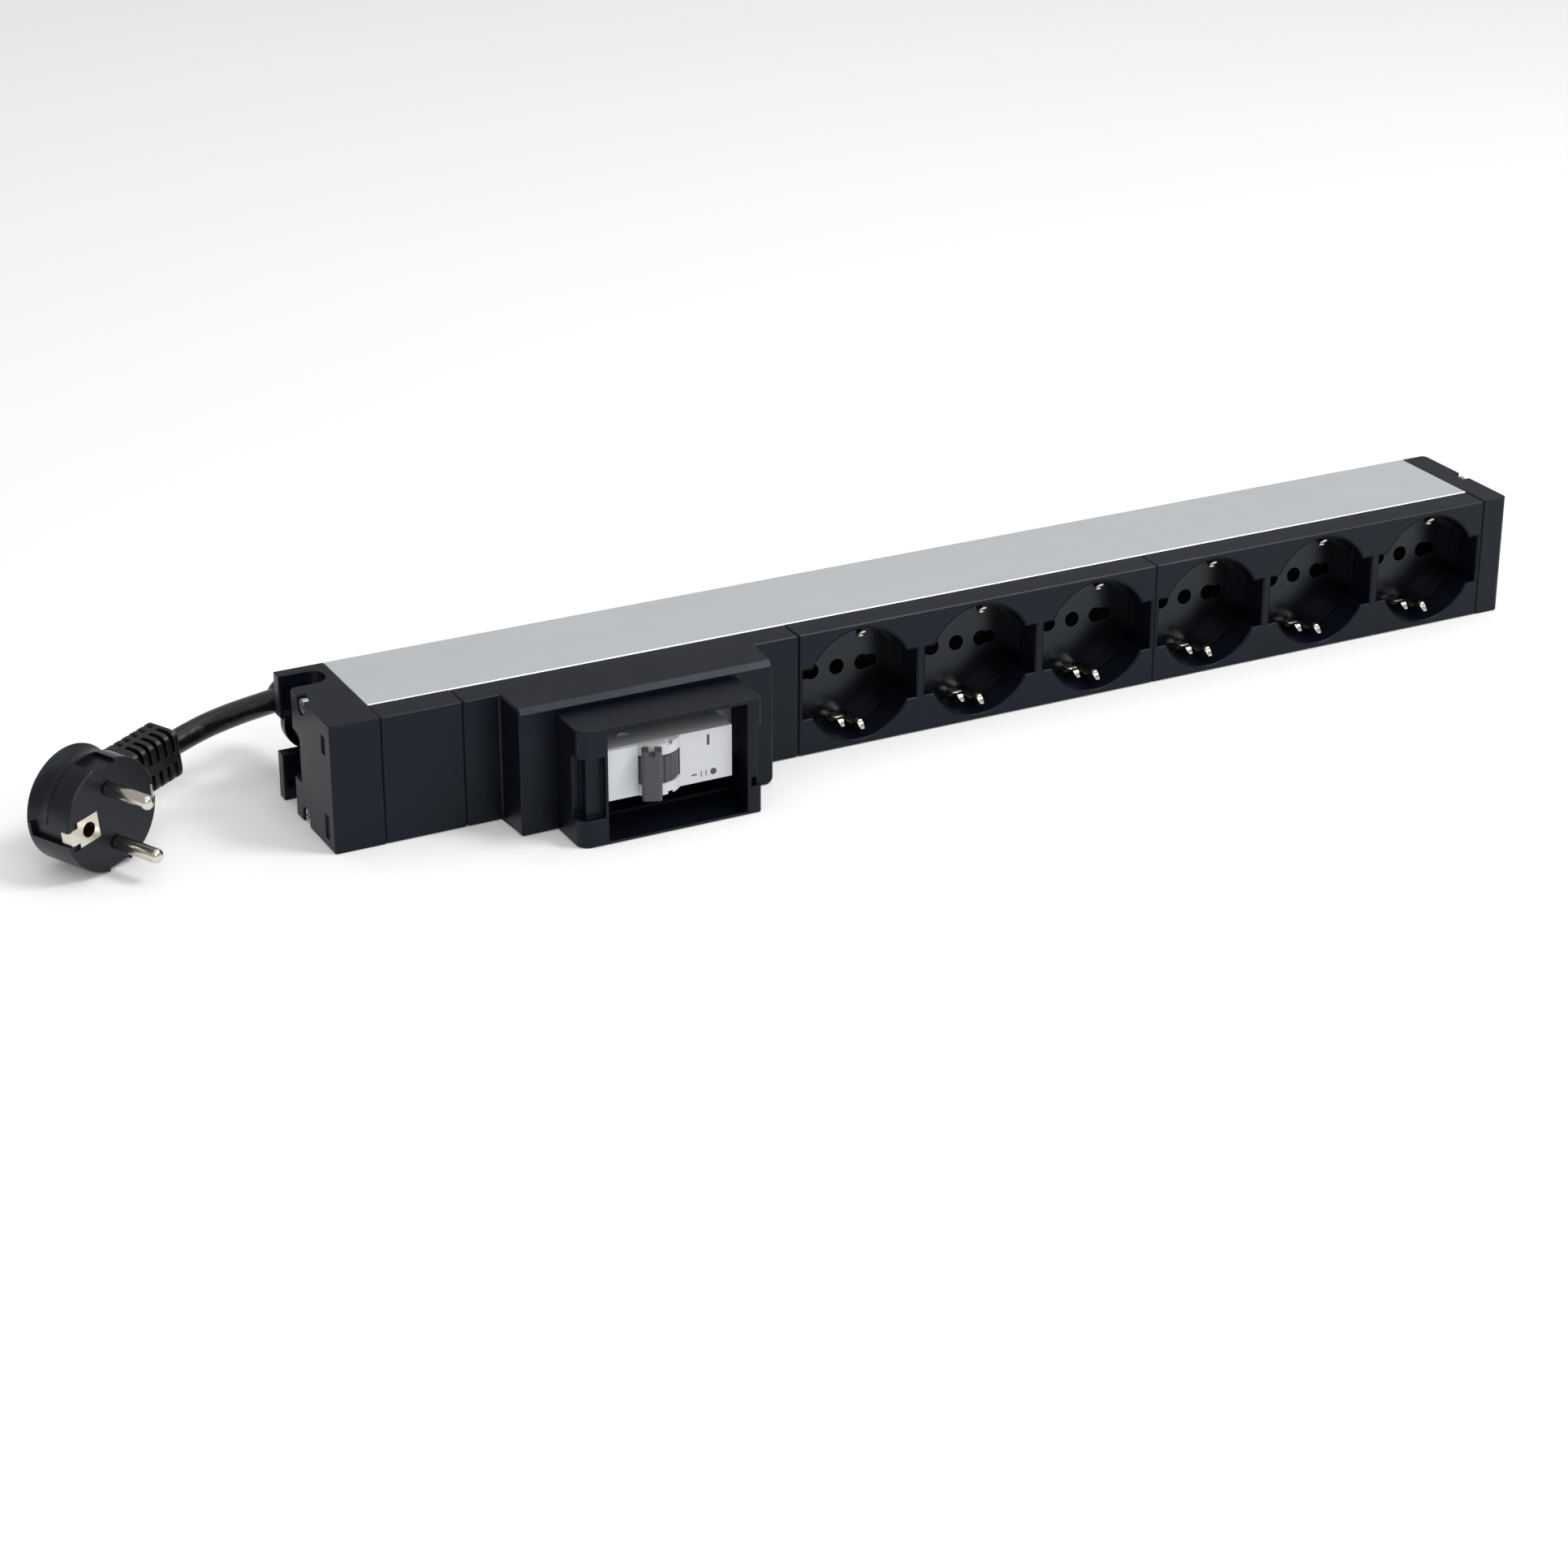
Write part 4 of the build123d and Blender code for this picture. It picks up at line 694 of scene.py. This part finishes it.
@dataclass
class Mouldings:
    """Shells and covers whose edges are rolled over, as every moulded edge is."""

    wardrobe: Wardrobe
    merge_mm: float = 0.002
    flat_degrees: float = 0.6
    sharp_degrees: float = 50.0
    crease_degrees: float = 28.0

    def split(self, work: bmesh.types.BMesh, behind: Iterable[str]) -> set[bmesh.types.BMEdge]:
        """Cut a moulding across x through its openings, so that no flat face goes round a hole.

        Args:
            work: the moulding.
            behind: pieces that stand in its openings; the cuts go through their middles.

        Returns:
            The edges of the cuts, which must stay when flat faces are joined.
        """
        kept: set[bmesh.types.BMEdge] = set()
        for node in behind:
            low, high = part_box(node)
            cut = bmesh.ops.bisect_plane(work, geom=[*work.verts, *work.edges, *work.faces],
                                         dist=self.merge_mm * MM, plane_co=(low + high) / 2,
                                         plane_no=Vector((1.0, 0.0, 0.0)))
            kept.update(item for item in cut["geom_cut"] if isinstance(item, bmesh.types.BMEdge))
        return kept

    def ease(self, node: str, edge: Edge, body: str = "housing", clamp: bool = True,
             behind: Iterable[str] = ()) -> bpy.types.Object:
        """Stand-in for one CAD piece with rolled edges.

        The copy is merged and its flat faces joined before the bevel.  Creases that are too
        shallow to roll, such as chamfers, stay sharp, and the flats keep their own normals.

        Args:
            node: the CAD piece.
            edge: how far its edges roll.
            body: body that it rides on.
            clamp: whether the roll shrinks where two of them would meet.
            behind: pieces that stand in its openings.

        Returns:
            The new piece.
        """
        mesh = bpy.data.meshes.new(f"{node}_eased")
        work = bmesh.new()
        work.from_mesh(frame["nodes"][node].data)
        bmesh.ops.remove_doubles(work, verts=work.verts, dist=self.merge_mm * MM)
        kept = self.split(work, behind)
        bmesh.ops.dissolve_limit(work, angle_limit=math.radians(self.flat_degrees), verts=work.verts,
                                 edges=[seam for seam in work.edges if seam not in kept])
        crease = math.radians(self.crease_degrees)
        for seam in work.edges:
            seam.smooth = len(seam.link_faces) == 2 and seam.calc_face_angle(0.0) < crease
        work.to_mesh(mesh)
        work.free()
        piece = placed(f"{node}_eased", mesh, True)
        bevel = piece.modifiers.new("edges", "BEVEL")
        bevel.width = edge.value * MM
        bevel.segments = 2
        bevel.limit_method = "ANGLE"
        bevel.angle_limit = math.radians(self.sharp_degrees)
        bevel.use_clamp_overlap = clamp
        flats = piece.modifiers.new("flats", "WEIGHTED_NORMAL")
        flats.keep_sharp = True
        return self.wardrobe.adopt(piece, self.wardrobe.slots[node], body, node)

    def build(self) -> None:
        """Ease every outer moulding."""
        self.ease("breaker_carrier", Edge.LIT, clamp=False, behind=("breaker_hood", "mcb_base_shell"))
        for node, clips in (("socket_cover_a", (1, 2, 3)), ("socket_cover_b", (4, 5, 6))):
            self.ease(node, Edge.SOFT, clamp=False, behind=[f"earth_clip_{number}" for number in clips])
        for node in ("cable_end_cap", "plain_end_cap", "blank_cover", "profile_channel"):
            self.ease(node, Edge.SOFT, clamp=False)
        for node in ("mcb_cover_shell", "mcb_base_shell", "mcb_label_flap", "plug_sleeve"):
            self.ease(node, Edge.CRISP)
        for node in ("breaker_hood", "cable_elbow", "plug_body"):
            self.ease(node, Edge.SOFT)
        self.ease("mcb_toggle", Edge.SOFT, "toggle")


# ---------------------------------------------------------------- metal contacts
@dataclass
class EarthClips:
    """Sprung earth clips, each with a pair of prongs above the socket's middle and a pair below.

    A pair has a short and a long prong on one root, and the long one has a domed contact.
    Heights are from the socket's middle.
    """

    wardrobe: Wardrobe
    sockets: int = 6
    arm_z_mm: float = 17.8
    grip_z_mm: float = 15.4
    thick_mm: float = 0.7
    crown_mm: float = 0.10
    back_gap_mm: float = 0.4
    root_z_mm: float = 4.2
    slant_mm: float = 4.0
    heel_mm: float = 1.7
    root_mm: float = 4.5
    root_bend_mm: float = 0.8
    root_margin_mm: float = 0.1
    overlap_mm: float = 1.3
    prong_mm: float = 2.8
    offset_mm: float = 2.5
    short_mm: float = 4.6
    vee_start_mm: float = 6.2
    vee_mm: float = 3.1
    tip_mm: float = 0.5
    tip_drop_mm: float = 0.1
    prong_bend_mm: float = 0.85
    taper_mm: float = 1.3
    dome_mm: float = 1.4
    dome_height: float = 0.6
    dome_tilt: float = 0.35

    def build(self) -> None:
        """One formed clip in each socket."""
        for number in range(1, self.sockets + 1):
            self.clip(number)

    def clip(self, number: int) -> None:
        """Formed clip of one socket.

        Args:
            number: the socket's number, from 1.
        """
        node = f"earth_clip_{number}"
        low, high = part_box(node)
        centre = (low + high) / 2
        back = high.y - self.back_gap_mm * MM
        shell = Shell(f"earth_fingers_{number}")
        for side in (-1, 1):
            self.root(shell, Vector((centre.x, back, centre.z)), side)
            for offset, setback in ((-self.offset_mm, self.short_mm), (self.offset_mm, 0.0)):
                tip = Vector((centre.x + offset * MM, low.y + setback * MM, centre.z))
                self.prong(shell, tip, back - (self.root_mm - self.overlap_mm) * MM, side)
            grip = Vector((self.offset_mm, self.vee_mm, side * self.grip_z_mm)) * MM
            self.dome(shell, Vector((centre.x, low.y, centre.z)) + grip, side)
        self.wardrobe.adopt(shell.build(), "nickel", "housing", node)

    def root(self, shell: Shell, foot: Vector, side: int) -> None:
        """Root of one pair of prongs: up along the back, slanting forward, and on as the arm.

        Args:
            shell: shell that takes the root.
            foot: x of the clip, y of its back, and z of the socket's middle.
            side: 1 for the clip's upper side, -1 for the lower.
        """
        arm_z = foot.z + side * self.arm_z_mm * MM
        corners = np.array([(foot.y, foot.z + side * self.root_z_mm * MM),
                            (foot.y, arm_z - side * self.slant_mm * MM),
                            (foot.y - self.heel_mm * MM, arm_z), (foot.y - self.root_mm * MM, arm_z)])
        line = rounded_line(corners, self.root_bend_mm * MM)
        width = 2 * (self.offset_mm + self.root_margin_mm) * MM
        formed_strip(shell, line, np.full(len(line), width), foot.x, self.thick_mm * MM,
                     -side * self.crown_mm * MM)

    def prong(self, shell: Shell, tip: Vector, root_y: float, side: int) -> None:
        """One prong: a straight arm and a V towards the socket's middle.

        Args:
            shell: shell that takes the prong.
            tip: x of the prong, y of its front end, and z of the socket's middle.
            root_y: where the prong leaves the root.
            side: 1 for the clip's upper side, -1 for the lower.
        """
        arm_z = tip.z + side * self.arm_z_mm * MM
        corners = np.array([(root_y, arm_z), (tip.y + self.vee_start_mm * MM, arm_z),
                            (tip.y + self.vee_mm * MM, tip.z + side * self.grip_z_mm * MM),
                            (tip.y + self.tip_mm * MM, arm_z - side * self.tip_drop_mm * MM)])
        line = rounded_line(corners, self.prong_bend_mm * MM)
        taper = np.clip((line[:, 0] - tip.y) / (self.taper_mm * MM), 0.5, 1.0)
        formed_strip(shell, line, self.prong_mm * MM * taper, tip.x, self.thick_mm * MM,
                     -side * self.crown_mm * MM)

    def dome(self, shell: Shell, grip: Vector, side: int) -> None:
        """Pressed dome on the long prong's V: half of a flattened ball.

        Args:
            shell: shell that takes the dome.
            grip: the V's point.
            side: 1 for the clip's upper side, -1 for the lower.
        """
        turn = np.linspace(0, np.pi / 2, 8)
        profile = np.stack([self.dome_height * self.dome_mm * np.sin(turn),
                            self.dome_mm * np.cos(turn) + ON_AXIS_MM], axis=-1)
        lathe(shell, profile * MM, grip, Vector((0, -self.dome_tilt, -side)), 24)


@dataclass
class PlugPins:
    """Two turned pins with rounded tips, on thinner roots inside the plug."""

    wardrobe: Wardrobe
    pin_r_mm: float = 2.4
    pin_mm: float = 18.6
    root_mm: float = 12.0
    root_r_mm: float = 1.98
    tip_mm: float = 1.9
    edge_mm: float = 0.15

    def profile(self) -> np.ndarray:
        """Root, shouldered shank, then a quarter ellipse down to the tip.

        Returns:
            Array of distances along the pin and radii.
        """
        turn = np.linspace(0, np.pi / 2, 14)
        shank_end = self.pin_mm - self.tip_mm
        shank = np.array([(-self.root_mm, ON_AXIS_MM), (-self.root_mm, self.root_r_mm), (0, self.root_r_mm),
                          (0, self.pin_r_mm - self.edge_mm), (self.edge_mm, self.pin_r_mm),
                          (shank_end * 0.6, self.pin_r_mm), (shank_end, self.pin_r_mm)])
        tip = np.stack([shank_end + self.tip_mm * np.sin(turn),
                        self.pin_r_mm * np.cos(turn) + ON_AXIS_MM], axis=-1)
        return np.concatenate([shank, tip[1:]]) * MM

    def build(self) -> None:
        """Pins along the plug's axis, where the frame's pin mounts say."""
        mounts = {mount["name"]: mount for mount in frame["record"]["mounts"]}
        shell = Shell("turned_pins")
        for name in ("plug_pin_upper", "plug_pin_lower"):
            axis = Vector(mounts[name]["axis"])
            centre = Vector(mounts[name]["pos_m"])
            root = centre - axis * (mounts[name]["dims"]["length_mm"] / 2 * MM)
            lathe(shell, self.profile(), root, axis)
        self.wardrobe.adopt(shell.build(), "nickel", "housing", "plug_pins")


# ---------------------------------------------------------------- mains lead
@dataclass
class MainsLead:
    """The short lead: one smooth cord from the elbow to the plug's sleeve."""

    wardrobe: Wardrobe
    radius_mm: float = 4.0
    length_mm: float = 56.9
    steps: int = 16
    route_mm: tuple[Place, ...] = (
        (-211.34, 52.27, 21.77),
        (-225.9, 45.15, 23.3),
        (-236.5, 39.75, 24.25),
        (-249.16, 33.28, 24.54),
        (-262.08, 26.9, 22.9),
    )

    def build(self) -> None:
        """Lay the cord along its route and say what it is."""
        curve = bpy.data.curves.new("lead", "CURVE")
        curve.dimensions = "3D"
        curve.bevel_depth = self.radius_mm * MM
        curve.bevel_resolution = 10
        curve.resolution_u = self.steps
        curve.use_fill_caps = True
        spline = curve.splines.new("NURBS")
        spline.points.add(len(self.route_mm) - 1)
        for point, place in zip(spline.points, self.route_mm):
            point.co = (*(c * MM for c in place), 1.0)
        spline.order_u = 3
        spline.use_endpoint_u = True
        spline.resolution_u = self.steps
        cord = bpy.data.objects.new("lead", curve)
        bpy.context.scene.collection.objects.link(cord)
        self.wardrobe.adopt(cord, "cable_black", "housing", "mains_cable")


# ---------------------------------------------------------------- breaker marks
@dataclass
class BreakerMarks:
    """Generic on and off marks, printed on the breaker's face to the right of the toggle.

    A place is how far the mark's centre is to the left of the face's right end and above its foot.
    """

    wardrobe: Wardrobe
    ink_mm: float = 0.05
    face_mm: float = 65.0
    bars_mm: tuple[tuple[float, float, float, float], ...] = (
        (8.4, 13.9, 0.9, 3.6),
        (13.4, 2.6, 1.9, 0.45),
        (10.9, 2.6, 0.3, 2.0),
        (9.2, 2.6, 0.3, 2.0),
    )
    ring_mm: tuple[float, float] = (6.6, 2.6)
    ring_inner_mm: float = 0.75
    ring_outer_mm: float = 1.1

    def build(self) -> None:
        """Bars, each given by its place, width and height, and one ring."""
        low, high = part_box("mcb_label_flap")
        corner = Vector((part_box("mcb_base_shell")[0].x + self.face_mm * MM, high.y, low.z))
        shell = Shell("breaker_marks")
        for left, above, width, height in self.bars_mm:
            centre = corner + Vector((-left, 0, above)) * MM
            half = Vector((width / 2, self.ink_mm, height / 2)) * MM
            slab(shell, centre - half, centre + half)
        ring = np.array([(-self.ink_mm, self.ring_inner_mm), (-self.ink_mm, self.ring_outer_mm),
                         (self.ink_mm, self.ring_outer_mm), (self.ink_mm, self.ring_inner_mm),
                         (-self.ink_mm, self.ring_inner_mm)])
        left, above = self.ring_mm
        lathe(shell, ring * MM, corner + Vector((-left, 0, above)) * MM, Vector((0, 1, 0)), 32)
        self.wardrobe.adopt(shell.build(False), "toggle_grey", "housing")


# ---------------------------------------------------------------- studio
@dataclass(frozen=True)
class Softbox:
    """Square area light: where it hangs, the point that it faces, its side and its power in watts."""

    name: str
    place: Place
    aim: Place
    size: float
    power: float

    def build(self) -> None:
        """Hang the light."""
        data = bpy.data.lights.new(self.name, "AREA")
        data.size = self.size
        data.energy = self.power
        light = bpy.data.objects.new(self.name, data)
        light.location = self.place
        light.rotation_euler = (Vector(self.place) - Vector(self.aim)).to_track_quat("Z", "Y").to_euler()
        bpy.context.scene.collection.objects.link(light)


@dataclass
class Studio:
    """Pale floor, soft light and the camera."""

    camera_place: Place = (-0.57651, -1.01171, 0.50128)
    tilt: float = 65.341
    roll: float = -0.047
    turn: float = -27.286
    lens_mm: float = 84.724
    sensor_mm: float = 36.0
    floor_half: float = 6.0
    floor_gap_mm: float = 0.05
    surroundings: float = 0.45
    softboxes: tuple[Softbox, ...] = (
        Softbox("overhead", (0.1, 0.0, 1.7), (0.0, 0.0, 0.0), 2.0, 8.0),
        Softbox("front", (-0.3, -1.6, 1.2), (0.0, 0.0, 0.02), 1.1, 9.0),
        Softbox("key", (0.86, -0.75, 1.5), (0.0, 0.0, 0.02), 0.55, 16.0),
    )

    def build(self) -> None:
        """Set up camera, floor, world and lights."""
        self.camera()
        self.floor()
        self.world()
        for softbox in self.softboxes:
            softbox.build()

    def camera(self) -> None:
        """Camera as the strip is seen: from the left, in front and above."""
        data = bpy.data.cameras.new("camera")
        data.lens = self.lens_mm
        data.sensor_width = self.sensor_mm
        data.clip_start = 0.01
        camera = bpy.data.objects.new("camera", data)
        camera.location = self.camera_place
        camera.rotation_euler = [math.radians(angle) for angle in (self.tilt, self.roll, self.turn)]
        bpy.context.scene.collection.objects.link(camera)
        bpy.context.scene.camera = camera

    def floor(self) -> None:
        """Plain pale floor under the lowest point of the object."""
        half = self.floor_half
        line = np.linspace(-half, half, 3)
        x, y = np.meshgrid(line, line, indexing="ij")
        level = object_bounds()[0].z - self.floor_gap_mm * MM
        shell = Shell("floor").grid(np.stack([x, y, np.full_like(x, level)], axis=-1), ring=False)
        piece = shell.build(False)
        graph = Graph("floor")
        cloud = graph.noise(graph.place(), 3.0)
        tone = graph.blend(cloud, (0.90, 0.90, 0.90), (0.92, 0.92, 0.92))
        piece.data.materials.append(graph.surface(Base_Color=tone, Roughness=0.85, Emission_Strength=0.12,
                                                  Emission_Color=(1.0, 1.0, 1.0, 1.0)))
        piece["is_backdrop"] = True

    def world(self) -> None:
        """Even white surroundings."""
        world = bpy.data.worlds.new("surroundings")
        world.use_nodes = True
        background = world.node_tree.nodes["Background"]
        background.inputs["Color"].default_value = (1.0, 1.0, 1.0, 1.0)
        background.inputs["Strength"].default_value = self.surroundings
        bpy.context.scene.world = world
        bpy.context.scene.view_settings.view_transform = "Standard"


def main() -> None:
    """Dress the frame, build the new pieces and set the studio."""
    logging.basicConfig(level=logging.INFO, format="%(name)s: %(message)s")
    wardrobe = Wardrobe()
    wardrobe.dress_frame()
    for maker in (Mouldings(wardrobe), EarthClips(wardrobe), PlugPins(wardrobe), MainsLead(wardrobe),
                  BreakerMarks(wardrobe), Studio()):
        LOG.info("building %s", type(maker).__name__)
        maker.build()


if __name__ == "__main__":
    main()
